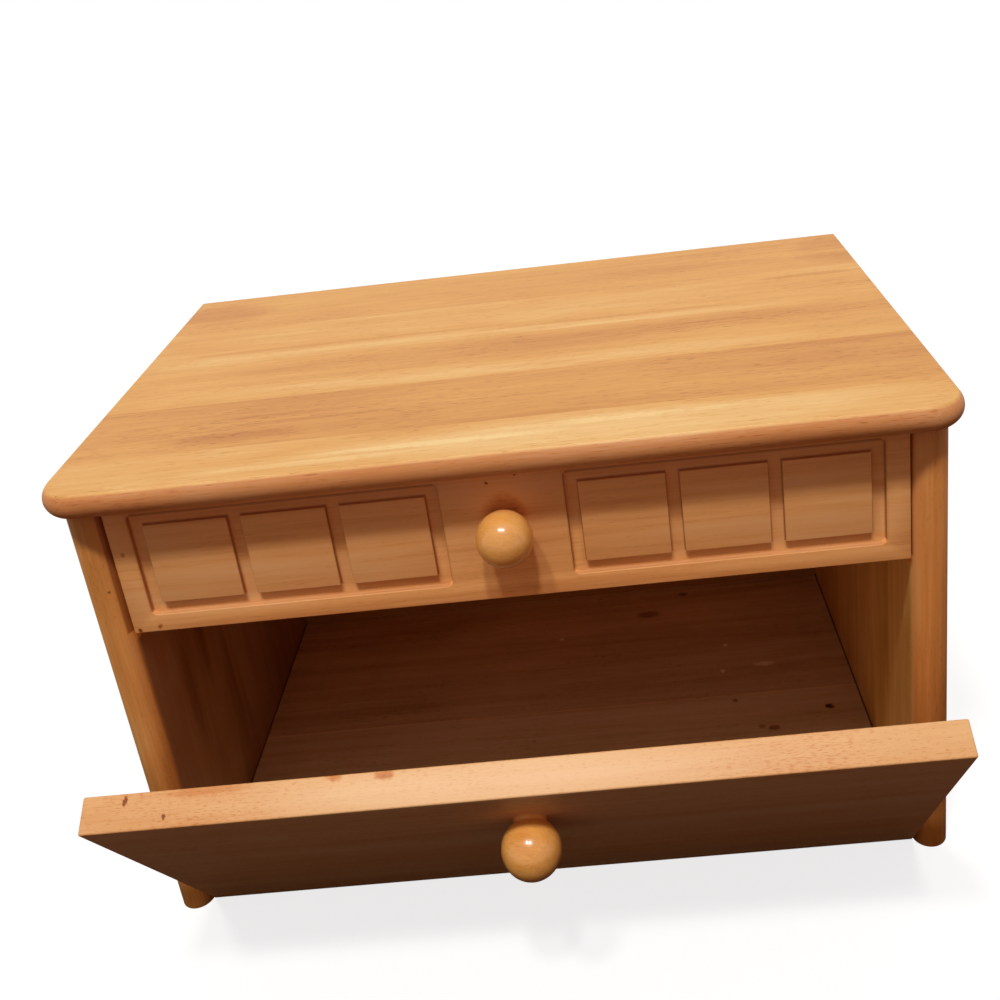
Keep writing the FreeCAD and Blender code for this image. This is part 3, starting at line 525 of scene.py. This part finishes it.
def combine(tree, operation, a, b, c=0.0, clamp=False):
    """One step of arithmetic."""
    node = add(tree, "ShaderNodeMath", {0: a, 1: b, 2: c}, operation=operation, use_clamp=clamp)
    return node.outputs["Value"]


MARK_WANDER = 3.0         # how far, in mm, noise pushes the outline of a mark about


def marked(tree, point, fac, marks):
    """Darkens spots such as knots, stains and painted shade, or pales them with a strength below
    zero, also as painted light.

    A mark is a centre, three radii and a strength, in millimetres along the grain, across it and
    through the board.
    """
    wander = add(tree, "ShaderNodeTexNoise", {"Vector": point, "Scale": 0.35, "Detail": 2.0})
    shaken = add(tree, "ShaderNodeVectorMath", {
        0: wander.outputs["Color"], 1: (MARK_WANDER,) * 3, 2: point}, operation="MULTIPLY_ADD")
    for centre, radii, strength in marks:
        local = add(tree, "ShaderNodeMapping", {
            "Vector": shaken.outputs["Vector"],
            "Location": [-(c + MARK_WANDER / 2) / r for c, r in zip(centre, radii)],
            "Scale": [1 / r for r in radii],
        })
        reach = add(tree, "ShaderNodeVectorMath", {0: local.outputs["Vector"]}, operation="LENGTH")
        spot = add(tree, "ShaderNodeMapRange", {
            "Value": reach.outputs["Value"], "From Min": 1.0, "From Max": 0.4,
            "To Min": 0.0, "To Max": strength}, interpolation_type="SMOOTHSTEP")
        fac = combine(tree, "SUBTRACT", fac, spot.outputs["Result"])
    return fac


TINT_SOFTNESS = 0.0004    # a tint fades over 0.4 mm on both sides of its box's faces


def tinted(tree, place, colour, tints):
    """Multiplies the colour within boxes.

    A tint is a low and a high corner in mm, and factors for red, green and blue.
    """
    for low, high, factors in tints:
        low, high = at(*low), at(*high)
        from_middle = add(tree, "ShaderNodeVectorMath", {
            0: place, 1: (low + high) / 2}, operation="SUBTRACT")
        size = add(tree, "ShaderNodeVectorMath", {
            0: from_middle.outputs["Vector"]}, operation="ABSOLUTE")
        beyond = add(tree, "ShaderNodeVectorMath", {
            0: size.outputs["Vector"], 1: (high - low) / 2}, operation="SUBTRACT")
        axes = add(tree, "ShaderNodeSeparateXYZ", {"Vector": beyond.outputs["Vector"]})
        farthest = combine(tree, "MAXIMUM", axes.outputs["X"], axes.outputs["Y"])
        farthest = combine(tree, "MAXIMUM", farthest, axes.outputs["Z"])
        inside = add(tree, "ShaderNodeMapRange", {
            "Value": farthest, "From Min": TINT_SOFTNESS, "From Max": -TINT_SOFTNESS})
        tint = add(tree, "ShaderNodeMix", {
            "Factor": inside.outputs["Result"], 6: colour, 7: (*factors, 1)},
            data_type="RGBA", blend_type="MULTIPLY")
        colour = tint.outputs[2]
    return colour


print("grain helpers are ready")


# %% The wood finish
def wood(name, colours, turn, staves, place=(0, 0, 0), figure=0.5, lines=0.5, fibre=0.3,
         pores=0.3, dash=(5.0, 0.6), plenty=0.0, marks=(), tints=(), seed=0.0, roughness=0.5,
         sheen=0.25, coat=0.0):
    """Wood with clear lacquer.

    Staves are (start across the grain in mm, tone from 0 to 1). Figure, lines, fibre and pores are
    strengths, dash is a pore's length and width in mm, and plenty above zero gives more pores.
    """
    material = bpy.data.materials.new(name)
    material.use_nodes = True
    tree = material.node_tree
    tree.nodes.clear()
    where = add(tree, "ShaderNodeTexCoord")
    board = add(tree, "ShaderNodeMapping", {
        "Vector": where.outputs["Object"], "Scale": (1000, 1000, 1000),
        "Rotation": turn, "Location": place})
    point = board.outputs["Vector"]
    axes = add(tree, "ShaderNodeSeparateXYZ", {"Vector": point})

    # each stave has its own tone and its own grain
    span = staves[-1][0] - staves[0][0]
    across = add(tree, "ShaderNodeMapRange", {
        "Value": axes.outputs["Y"], "From Min": staves[0][0], "From Max": staves[-1][0]})
    tone = ramp(tree, across.outputs["Result"],
                [((start - staves[0][0]) / span, level) for start, level in staves], "CONSTANT")
    shift = add(tree, "ShaderNodeVectorMath", {
        0: tone, 1: (4100.0, 730.0, 310.0), 2: point}, operation="MULTIPLY_ADD")
    grain = shift.outputs["Vector"]

    # figure, growth lines and fibre, from broad to fine
    layers = (
        (stretched(tree, grain, 230, 24, 3.0, seed, 0.7), 1.4 * figure),
        (stretched(tree, grain, 120, 3.6, 2.0, seed + 7, 0.3), 0.8 * lines),
        (stretched(tree, grain, 22, 0.8, 4.0, seed + 13), 0.8 * fibre),
        (stretched(tree, point, 90, 60, 2.0, seed + 21), 0.5 * figure),
    )
    fac = tone
    for noise, weight in layers:
        fac = combine(tree, "MULTIPLY_ADD", combine(tree, "SUBTRACT", noise, 0.5), weight, fac)

    # pores are short dashes, thicker in some places than in others
    dashes = stretched(tree, grain, dash[0], dash[1], 1.0, seed + 31)
    patch = stretched(tree, point, 60, 22, 2.0, seed + 43)
    dark_dash = add(tree, "ShaderNodeMapRange", {
        "Value": combine(tree, "MULTIPLY_ADD", patch, 0.25, dashes),
        "From Min": 0.76 - plenty, "From Max": 0.86 - plenty, "To Min": 0.0, "To Max": pores})
    fac = combine(tree, "SUBTRACT", fac, dark_dash.outputs["Result"])
    if marks:
        fac = marked(tree, point, fac, marks)
    colour = ramp(tree, combine(tree, "ADD", fac, 0.0, clamp=True),
                  list(zip((0.0, 0.3, 0.62, 1.0), colours)))
    colour = tinted(tree, where.outputs["Object"], colour, tints)

    # the lacquer follows the pores a little
    fine = layers[2][0]
    sunk = combine(tree, "MULTIPLY", dark_dash.outputs["Result"], -1.0)
    height = combine(tree, "MULTIPLY_ADD", fine, 0.35, sunk)
    bump = add(tree, "ShaderNodeBump", {"Height": height, "Strength": 0.2, "Distance": 0.00006})
    rough = add(tree, "ShaderNodeMapRange", {
        "Value": fine, "To Min": roughness - 0.07, "To Max": roughness + 0.07})
    surface = add(tree, "ShaderNodeBsdfPrincipled", {
        "Base Color": colour, "Roughness": rough.outputs["Result"],
        "Normal": bump.outputs["Normal"], "Specular IOR Level": sheen,
        "Coat Weight": coat, "Coat Roughness": 0.18})
    add(tree, "ShaderNodeOutputMaterial", {"Surface": surface.outputs["BSDF"]})
    return material


print("wood finish is ready")

# %% [markdown]
# ## Which way each board's grain runs
#
# On the top, the floor, the shelf and the drawer front it runs from side to side. On the side
# panels it stands upright, and on the drawer's sides it runs from front to back. `turn` brings the
# grain on to X and the staves on to Y. A palette holds four colours, from the darkest pore to the
# palest figure, and boards from one tree share one.

# %% Turns and palettes
FLAT = (0.0, 0.0, 0.0)
UPRIGHT_BOARD = (math.radians(-90), 0.0, 0.0)   # grain from side to side, staves above each other
STANDING_GRAIN = (0.0, math.radians(90), 0.0)   # grain upright, staves from front to back
LENGTHWISE = (0.0, 0.0, math.radians(-90))      # grain from front to back
HONEY = ("7a3f16", "c98446", "e4a75c", "fad494")    # the top, and the hidden boards
ORANGE = ("6a3414", "d48645", "f4af69", "fcca92")   # the drawer front, a little redder
AMBER = ("5e2a0c", "bb6f2c", "e4954b", "f6bc76")    # the side panels, which are the darkest boards
PALE = ("8a4418", "d0803a", "e6ad72", "f4c892")     # the flap
BROWN = ("4a2a14", "a87c4c", "d5b182", "f6dcb4")    # the plywood floor, greyer than the boards
TURNED = ("7a3c14", "c87428", "eea652", "f8c67c")   # the knobs, deeper under their gloss lacquer
print("palettes:", HONEY[2], ORANGE[2], AMBER[2], PALE[2], BROWN[2], TURNED[2])

# %% [markdown]
# ## Tints
#
# Most tints are painted shade and painted light. They darken, and mostly redden, the top's shaped
# edges and underside, the drawer front's grooves, the gaps beside the drawer front and at the
# floor's ends, the corner where the back meets the floor and the left panel's inner face. They pale
# the right panel's inner face and a line along the top's front edge. The grooves also hold some
# dirt. The rest of the left side panel is made paler and the right one darker. Noise can't know
# such places, so boxes mark them, and within a box the colour is multiplied. Each tint is a low and
# a high corner in millimetres, then the factors.

# %% Tints of the case
# painted shade on the top's shaped edges and underside, and a painted highlight where the front
# edge starts
EDGE = ((-216, -144, 249), (216, 132, 260.6), (0.88, 0.68, 0.74))
PAINTED_ARRIS_HIGHLIGHT = ((-196, -141.3, 261), (196, -140.1, 262), (1.1, 1.12, 1.2))
# painted shade on the left panel's inner face and painted light on the right one's, then the rest
# of the left panel made paler and the right one darker
INSIDE_LEFT_PAINTED_SHADE = ((-191.1, -131, -1), (-189, 126, 171), (0.47, 0.55, 0.9))
INSIDE_RIGHT_PAINTED_LIGHT = ((189, -126, -1), (191.1, 126, 171), (1.05, 1.5, 1.8))
LEFT_BOARD = ((-209, -135, -1), (-191.5, 135, 262), (1.0, 1.11, 1.24))
RIGHT_BOARD = ((191.5, -135, -1), (209, 135, 262), (0.9, 0.87, 0.88))
# painted shade on the side panels' flanks beside the drawer front
DRAWER_SHADE = (
    ((-193.2, -129.2, 177), (-189.7, -114, 250), (0.5, 0.38, 0.3)),
    ((189.7, -126, 177), (191.4, -114, 250), (0.5, 0.4, 0.35)),
)
# painted shade in the floor's gaps at the side panels and in the corner where the back meets it,
# and the floor's own joint
GAP_PAINTED_SHADE = tuple(
    ((side - 0.9, -132, 4), (side + 0.9, 132, 5), (0.16, 0.13, 0.12))
    for side in (-SIDE_INNER, SIDE_INNER))
FLOOR_JOINT = ((-192, -1.4, 4), (192, -0.6, 5), (1.25, 1.2, 1.15))
BACK_CORNER_PAINTED_SHADE = ((-192, 124, 4), (192, 126.5, 15), (0.5, 0.42, 0.36))
print("the top's edge is tinted by", EDGE[2])

# %% Tints of the drawer front's grooves
left_corners = square_starts + [-start - SQUARE_WIDTH for start in square_starts]
# painted shade and dirt on the raised squares' walls
SQUARE_WALL_DIRT_AND_SHADE = tuple(
    ((start - 0.4, DRAWER_FACE + 0.4, square_low - 0.4),
     (start + SQUARE_WIDTH + 0.4, BAND_FLOOR + 0.4, square_high + 0.4),
     (0.5, 0.42, 0.38))
    for start in left_corners)
# painted shade on the band's upright outer walls
BAND_WALL_SHADE = tuple(
    ((wall - 0.5, DRAWER_FACE + 0.3, band_low + 2),
     (wall + 0.5, BAND_FLOOR + 0.4, band_high),
     (0.55, 0.45, 0.4))
    for wall in (-group_far, -group_near, group_near, group_far))
# painted shade on the band's lower wall, which faces up to the lamps
BAND_SILL_SHADE = tuple(
    ((start, DRAWER_FACE + 0.3, band_low - 0.5),
     (start + group_width, BAND_FLOOR + 0.4, band_low + 0.5),
     (0.72, 0.70, 0.78))
    for start in (-group_far, group_near))
# painted shadow on the band's floor just under its top wall
BAND_LINTEL_SHADOW = tuple(
    ((start + 1, BAND_FLOOR - 0.3, band_high - 2.4),
     (start + group_width - 1, BAND_FLOOR + 0.4, band_high + 0.2),
     (0.62, 0.52, 0.48))
    for start in (-group_far, group_near))
FRONT_GROOVE_DIRT_AND_SHADE = SQUARE_WALL_DIRT_AND_SHADE + BAND_WALL_SHADE + BAND_SILL_SHADE + BAND_LINTEL_SHADOW
print("tinted places in the grooves:", len(FRONT_GROOVE_DIRT_AND_SHADE))

# %% [markdown]
# ## Knots, stains, streaks, and painted light and shade
#
# Noise alone gives every board the same liveliness. Each visible board also has a few features of
# its own: knots, mineral stains, and broad streaks that are darker or, with a strength below zero,
# paler. Some marks are painted shade and painted light instead: on the side panels' feet and the
# left one's lower front, round the knob's neck, on the drawer front's squares and rails, and a
# painted sheen on the flap's upper edge. They are drawn along the grain, across it and through the
# board. That is X, Y, Z on the top, but height, depth and the way to the left on the side panels.

# %% The top
# streaks, the paler front stave and the darker corners
top_marks = (
    ((60, -124, TOP_FACE), (180, 22, 30), -0.18),
    ((-190, -142, 252), (60, 20, 12), 0.1),
    ((125, -142, 252), (85, 20, 12), 0.07),
    ((-95, -131, TOP_FACE), (70, 3.5, 9), -0.13),
    ((-25, -124, TOP_FACE), (80, 3.5, 9), -0.15),
    ((50, -117, TOP_FACE), (80, 3.5, 9), -0.12),
    ((-132, -94, TOP_FACE), (46, 8, 9), 0.16),
    ((182, 55, TOP_FACE), (40, 4, 9), 0.2),
    ((-190, 100, TOP_FACE), (45, 28, 9), 0.14),
    ((205, 100, TOP_FACE), (30, 40, 9), 0.12),
    ((-100, 26, TOP_FACE), (130, 3, 9), 0.12),
    ((60, 19, TOP_FACE), (120, 3, 9), 0.12),
    ((-60, 17, TOP_FACE), (160, 5, 9), -0.08),
    ((100, 11, TOP_FACE), (120, 4, 9), -0.11),
    ((0, -8, TOP_FACE), (230, 16, 9), 0.12),
    ((0, -38, TOP_FACE), (230, 12, 9), -0.1),
    ((150, -54, TOP_FACE), (120, 5, 9), 0.12),
    ((180, -8, TOP_FACE), (80, 26, 9), 0.12),
    ((-110, -72, TOP_FACE), (50, 2.5, 9), 0.1),
    ((-90, -80, TOP_FACE), (60, 2.5, 9), 0.1),
)
top_staves = ((-150, 0.63), (-106, 0.50), (-50, 0.60), (8, 0.64), (67, 0.56), (140, 0.56))
# open-pored boards under satin lacquer: calm figure, with long fine dashes in the darker staves
top_wood = wood("rubberwood top, satin lacquer", HONEY, FLAT, top_staves, seed=3.0,
                figure=0.3, lines=0.2, fibre=0.45, pores=0.28, dash=(8.0, 0.55),
                marks=top_marks, tints=(EDGE, PAINTED_ARRIS_HIGHLIGHT))
print("finish:", top_wood.name)

# %% The side panels
# a knot, stains inside on the left, a paler right edge, and painted shade on the feet and on the
# left panel's lower front
side_marks = (
    ((202.1, -129, 195.5), (1.6, 1.6, 1.6), 0.6),
    ((125, -56, 190.7), (40, 9, 4), 0.18),
    ((103, -84, 190.7), (45, 7, 4), 0.2),
    ((62, -30, 190.7), (60, 10, 4), 0.18),
    ((135, -98, 190.7), (20, 8, 4), -0.12),
    ((150, -130, 200), (65, 7, 20), -0.16),
    ((0, -131, 199), (22, 34, 30), 0.26),
    ((0, -131, -199), (22, 34, 30), 0.26),
    ((55, -131, 199), (60, 20, 30), 0.12),
)
side_staves = ((-140, 0.58), (-82, 0.48), (-25, 0.62), (32, 0.52), (90, 0.58), (140, 0.5))
# the same wood from darker boards, with bolder figure and hardly any pores
side_wood = wood("rubberwood side, satin lacquer", AMBER, STANDING_GRAIN, side_staves, seed=11.0,
                 figure=0.6, lines=0.3, pores=0.12, marks=side_marks,
                 tints=(INSIDE_LEFT_PAINTED_SHADE, INSIDE_RIGHT_PAINTED_LIGHT, LEFT_BOARD, RIGHT_BOARD) + DRAWER_SHADE)
print("finish:", side_wood.name)

# %% The drawer front
# five knots, and the shade round the knob's neck
round_marks = (
    (-187, 177.6, 1.6, 0.6), (-176.6, 179.2, 2.0, 0.4), (-184.9, 220.6, 1.4, 0.35),
    (-6.1, 239.9, 1.2, 0.7), (7.9, 242.5, 1.1, 0.7), (0, 223, 13.0, 0.42),
)
front_marks = tuple(
    ((x, z, -DRAWER_FACE), (size, size, size), strength) for x, z, size, strength in round_marks)
# painted light on the squares, the upper rail and the middle above the knob, and painted shade on
# the lower rail
front_marks += (
    ((-115, 197, -DRAWER_FACE), (115, 16, 20), -0.12),
    ((115, 197, -DRAWER_FACE), (115, 16, 20), -0.09),
    ((0, 178, -DRAWER_FACE), (240, 8, 20), 0.08),
    ((0, 247, -DRAWER_FACE), (240, 15, 20), -0.1),
    ((0, 238, -DRAWER_FACE), (44, 16, 20), -0.09),
)
# one board without joints, quiet and fine-grained
front_staves = ((170, 0.6), (260, 0.6))
front_wood = wood("rubberwood drawer front, satin lacquer", ORANGE, UPRIGHT_BOARD, front_staves,
                  seed=17.0, figure=0.25, lines=0.45, pores=0.1, marks=front_marks,
                  tints=FRONT_GROOVE_DIRT_AND_SHADE)
print("finish:", front_wood.name)

# %% [markdown]
# ## Finishes of the flap, the knobs and the inside
#
# The flap's drawing is upright, so its finish is turned back by the tilt and starts at the hinge.
# The knobs are turned and dipped in gloss lacquer, which a clear coat over the wood gives. Inside,
# boards and plywood are only planed or thinly lacquered, so they are rougher and duller.

# %% The flap
flap_turn = (math.radians(-90 - FLAP_TILT), 0.0, 0.0)
flap_start = -(Matrix.Rotation(flap_turn[0], 3, "X") @ (HINGE * 1000))
flap_edge = FLAP_HEIGHT + FLAP_LIFT - HINGE_Z
# knots, a stain, and a painted sheen that pales the middle of the upper edge
flap_marks = (
    ((-171.5, flap_edge, -4.5), (1.3, 3.0, 3.0), 0.8),
    ((-153.0, flap_edge, 3.0), (1.4, 2.0, 1.6), 0.6),
    ((-134.0, flap_edge, -6.0), (24.0, 3.0, 3.2), 0.17),
    ((-160.0, flap_edge, 0.0), (80.0, 6.0, 14.0), 0.1),
    ((-10.0, flap_edge, 0.0), (110.0, 6.0, 14.0), -0.12),
    ((-79.5, flap_edge, -7.0), (5.0, 3.0, 2.2), 0.36),
    ((-57.5, flap_edge, -6.0), (5.5, 3.0, 2.6), 0.44),
)
flap_staves = ((-20, 0.5), (55, 0.56), (110, 0.6), (180, 0.6))
# the palest boards, with many short pores that show on the upper edge
flap_wood = wood("rubberwood flap, satin lacquer", PALE, flap_turn, flap_staves,
                 place=tuple(flap_start), seed=23.0, figure=0.3, lines=0.2, pores=0.17,
                 dash=(3.2, 0.55), plenty=0.08, marks=flap_marks, roughness=0.45, sheen=0.35)
print("finish:", flap_wood.name)

# %% The knobs and the planed boards
knob_turn = (0, 0, math.radians(20))
knob_marks = (((47.9, -131.6, 206), (20, 20, 11), 0.14),)
# gloss lacquer: a clear sharp highlight over deep orange wood
knob_wood = wood("turned rubberwood, gloss lacquer", TURNED, knob_turn, ((-400, 0.6), (400, 0.6)),
                 seed=29.0, figure=0.3, lines=0.3, pores=0.1, marks=knob_marks,
                 roughness=0.3, coat=0.6)
# planed and bare: the same colour with no shine
shelf_wood = wood("planed rubberwood shelf", HONEY, FLAT, ((-140, 0.5), (140, 0.5)), seed=31.0,
                  roughness=0.6)
drawer_wood = wood("planed rubberwood drawer", HONEY, UPRIGHT_BOARD, front_staves, seed=37.0,
                   roughness=0.62)
drawer_side_wood = wood("planed rubberwood drawer side", HONEY, LENGTHWISE,
                        ((-200, 0.6), (200, 0.6)), seed=39.0, figure=0.4, lines=0.4, roughness=0.62)
dowel_wood = wood("plain beech dowel", HONEY, STANDING_GRAIN, ((-140, 0.7), (140, 0.7)), seed=53.0,
                  roughness=0.65)
print("finishes:", knob_wood.name, "/", shelf_wood.name, "/", drawer_wood.name)

# %% The plywood
# knots, pale scratches and a stain
floor_marks = (
    ((169.5, -19, FLOOR_FACE), (4.0, 3.0, 3.0), 0.6),
    ((65, 95, FLOOR_FACE), (11.0, 5.0, 3.0), 0.35),
    ((92, 116, FLOOR_FACE), (4.0, 3.0, 3.0), 0.3),
    ((113, -6, FLOOR_FACE), (3.0, 2.5, 3.0), 0.4),
    ((133, -34, FLOOR_FACE), (5.0, 3.0, 3.0), 0.4),
    ((126, -32, FLOOR_FACE), (3.0, 2.5, 3.0), 0.3),
    ((114.5, 51.7, FLOOR_FACE), (2.4, 1.8, 3.0), -0.5),
    ((109, 24, FLOOR_FACE), (2.0, 2.0, 3.0), -0.5),
    ((3, 75, FLOOR_FACE), (2.0, 1.8, 3.0), -0.4),
    ((137, 28, FLOOR_FACE), (9.0, 3.0, 3.0), -0.4),
    ((-120, 110, FLOOR_FACE), (110, 40, 3.0), 0.12),
)
# thinly lacquered and used: greyer, with knots, specks and crumbs' stains
floor_wood = wood("lacquered plywood floor", BROWN, FLAT, ((-140, 0.62), (-1, 0.56), (140, 0.5)),
                  seed=41.0, figure=0.3, lines=0.3, pores=0.2, marks=floor_marks,
                  tints=GAP_PAINTED_SHADE + (FLOOR_JOINT,))
back_wood = wood("lacquered plywood back", HONEY, UPRIGHT_BOARD, ((0, 0.66), (260, 0.66)),
                 seed=43.0, figure=0.3, lines=0.3, tints=(BACK_CORNER_PAINTED_SHADE,))
# bare plywood: pale and dull
drawer_floor = wood("plain plywood drawer bottom", HONEY, FLAT, ((-140, 0.7), (140, 0.7)),
                    seed=47.0, roughness=0.65)
print("flap finish starts at", [round(v, 1) for v in flap_start])

# %% [markdown]
# ## Steel
#
# The pins, screws, brads and the catch are zinc-plated or nickel-plated steel. Drawing and turning
# leave faint lines, which a fine stretched noise in the roughness gives. Real ones are a few
# hundredths of a millimetre wide, and are drawn 0.25 mm wide to show at all.


# %% Plated steel
def steel(name, colour, roughness):
    """Plated steel: a grey satin shine with faint drawing lines."""
    material = bpy.data.materials.new(name)
    material.use_nodes = True
    tree = material.node_tree
    tree.nodes.clear()
    where = add(tree, "ShaderNodeTexCoord")
    rod = add(tree, "ShaderNodeMapping", {
        "Vector": where.outputs["Object"], "Scale": (1000, 1000, 1000)})
    lines = stretched(tree, rod.outputs["Vector"], 8, 0.25, 3.0)
    rough = add(tree, "ShaderNodeMapRange", {
        "Value": lines, "To Min": roughness - 0.1, "To Max": roughness + 0.12})
    tint = ramp(tree, lines, [(0.3, colour), (0.8, "c9c9cc")])
    surface = add(tree, "ShaderNodeBsdfPrincipled", {
        "Base Color": tint, "Metallic": 1.0, "Roughness": rough.outputs["Result"]})
    add(tree, "ShaderNodeOutputMaterial", {"Surface": surface.outputs["BSDF"]})
    return material


zinc = steel("zinc-plated steel", "a9a9ad", 0.38)
nickel = steel("nickel-plated magnet", "8d8a86", 0.3)
print("metals:", zinc.name, "/", nickel.name)

# %% Give every piece and node its finish
FINISH = {
    "top_wood": top_wood, "side_wood": side_wood, "front_wood": front_wood, "flap_wood": flap_wood,
    "shelf_wood": shelf_wood, "drawer_wood": drawer_wood, "floor_plywood": floor_wood,
    "back_plywood": back_wood, "drawer_plywood": drawer_floor, "knob_wood": knob_wood,
    "dowel_wood": dowel_wood, "steel": zinc, "magnet": nickel,
}
for entry in frame["record"]["subparts"]:
    node = frame["nodes"][entry["node"]]
    for number in range(len(node.material_slots)):
        node.material_slots[number].material = FINISH[entry["material_slot"]]
for name in ("drawer_side_left", "drawer_side_right"):
    frame["nodes"][name].material_slots[0].material = drawer_side_wood
for piece, body, node, slot in PIECES:
    piece.data.materials.clear()
    piece.data.materials.append(FINISH[slot])

# %% [markdown]
# ## The studio
#
# A plain pale floor, a dim grey room and two soft lamps high in front, a little apart, so that the
# knob throws two soft shadows. The high lamps leave the open compartment and the flap's outer face
# in shade, and the warm, darker front of the room keeps that shade brown. To the camera the floor
# and the room are white, and so they are to mirror rays, so that metal shows a bright room. Only
# near the box is the floor dim to them, because the gloss of the wood would wash out there. Its
# matte part takes the shadow.

# %% Strengths of the studio
PAPER_GLOW, GLOW_SHARE = 1.12, 0.7      # the seen floor is mostly even light, the rest matte paper
DIM_NEAR, CLEAR_FAR = 0.5, 1.5          # in m: up to here mirror rays find it dim, from here white
ROOM_GREY = (0.34, 0.34, 0.34, 1)
ROOM_FRONT = (0.28, 0.108, 0.085, 1)    # warm and dark, in front of the box
FRONT_WAY = (0.4, -0.92, 0.0)
WHITE = (1, 1, 1, 1)
print("room light from grey", ROOM_GREY[0], "to red, green, blue", ROOM_FRONT[:3])


# %% Who sees the studio white
def seen_white(tree, glossy_share=None):
    """1 for camera and see-through rays, and for mirror rays, or for a share of them."""
    ray = add(tree, "ShaderNodeLightPath")
    mirrored = ray.outputs["Is Glossy Ray"]
    if glossy_share is not None:
        mirrored = combine(tree, "MULTIPLY", mirrored, glossy_share)
    shown = combine(tree, "MAXIMUM", ray.outputs["Is Camera Ray"], mirrored)
    return combine(tree, "MAXIMUM", shown, ray.outputs["Is Transmission Ray"])


print("camera, mirror and see-through rays find white")

# %% The floor
bpy.ops.mesh.primitive_plane_add(size=8, location=(0, 0, 0))
floor = bpy.context.object
floor.name = "studio_floor"
paper = bpy.data.materials.new("studio paper")
paper.use_nodes = True
tree = paper.node_tree
tree.nodes.clear()
spot = add(tree, "ShaderNodeTexCoord")
away = add(tree, "ShaderNodeVectorMath", {0: spot.outputs["Object"]}, operation="LENGTH")
clear = add(tree, "ShaderNodeMapRange", {
    "Value": away.outputs["Value"], "From Min": DIM_NEAR, "From Max": CLEAR_FAR})
shown = seen_white(tree, clear.outputs["Result"])
speck = add(tree, "ShaderNodeTexNoise", {"Scale": 400.0, "Detail": 2.0})
paper_tone = ramp(tree, speck.outputs["Fac"], [(0.0, "eeeeec"), (1.0, "f4f4f2")])
matte = add(tree, "ShaderNodeBsdfDiffuse", {"Color": paper_tone})
glow = add(tree, "ShaderNodeEmission", {"Color": WHITE, "Strength": PAPER_GLOW})
seen = add(tree, "ShaderNodeMixShader", {
    0: GLOW_SHARE, 1: matte.outputs["BSDF"], 2: glow.outputs["Emission"]})
dim = add(tree, "ShaderNodeBsdfDiffuse", {"Color": rgb("322624")})
both = add(tree, "ShaderNodeMixShader", {
    0: shown, 1: dim.outputs["BSDF"], 2: seen.outputs["Shader"]})
add(tree, "ShaderNodeOutputMaterial", {"Surface": both.outputs["Shader"]})
floor.data.materials.append(paper)
print("floor:", paper.name)

# %% The room
room = bpy.data.worlds.new("studio room")
bpy.context.scene.world = room
room.use_nodes = True
tree = room.node_tree
tree.nodes.clear()
where = add(tree, "ShaderNodeTexCoord")
facing = add(tree, "ShaderNodeVectorMath", {
    0: where.outputs["Generated"], 1: FRONT_WAY}, operation="DOT_PRODUCT")
warm = add(tree, "ShaderNodeMapRange", {
    "Value": facing.outputs["Value"], "From Min": 0.45, "From Max": 0.95})
walls = add(tree, "ShaderNodeMix", {
    "Factor": warm.outputs["Result"], 6: ROOM_GREY, 7: ROOM_FRONT}, data_type="RGBA")
seen = add(tree, "ShaderNodeMix", {
    "Factor": seen_white(tree), 6: walls.outputs[2], 7: WHITE}, data_type="RGBA")
air = add(tree, "ShaderNodeBackground", {"Color": seen.outputs[2], "Strength": 1.0})
add(tree, "ShaderNodeOutputWorld", {"Surface": air.outputs["Background"]})
print("room:", room.name)


# %% Two lamps high in front
def lamp(name, azimuth, elevation, strength, softness):
    """A far soft lamp. Azimuth 0 is straight in front, and positive is to the right."""
    data = bpy.data.lights.new(name, "SUN")
    data.energy = strength
    data.angle = math.radians(softness)
    light = bpy.data.objects.new(name, data)
    bpy.context.collection.objects.link(light)
    a, e = math.radians(azimuth), math.radians(elevation)
    towards = Vector((math.sin(a) * math.cos(e), -math.cos(a) * math.cos(e), math.sin(e)))
    light.rotation_euler = towards.to_track_quat("Z", "Y").to_euler()


lamp("lamp_middle", azimuth=3, elevation=66, strength=1.2, softness=5.0)
lamp("lamp_left", azimuth=-24, elevation=66, strength=1.0, softness=5.0)
print("two lamps")

# %% [markdown]
# ## The camera
#
# It stands in front and above, a little to the right, and leans a few degrees. The lens is about
# 41 mm on a 36 mm sensor, and the shift frames the box as a cropped picture does.

# %% Camera
view = bpy.data.cameras.new("camera")
view.sensor_width = 36.0
view.lens = 41.4
view.shift_x = -0.0486
view.shift_y = -0.1602
camera = bpy.data.objects.new("camera", view)
bpy.context.collection.objects.link(camera)
camera.location = (0.05744, -0.60355, 0.48927)
camera.rotation_euler = [math.radians(v) for v in (68.959, 6.801, 0.531)]
bpy.context.scene.camera = camera
bpy.context.scene.view_settings.view_transform = "Standard"
print("camera at", tuple(round(v, 3) for v in camera.location))
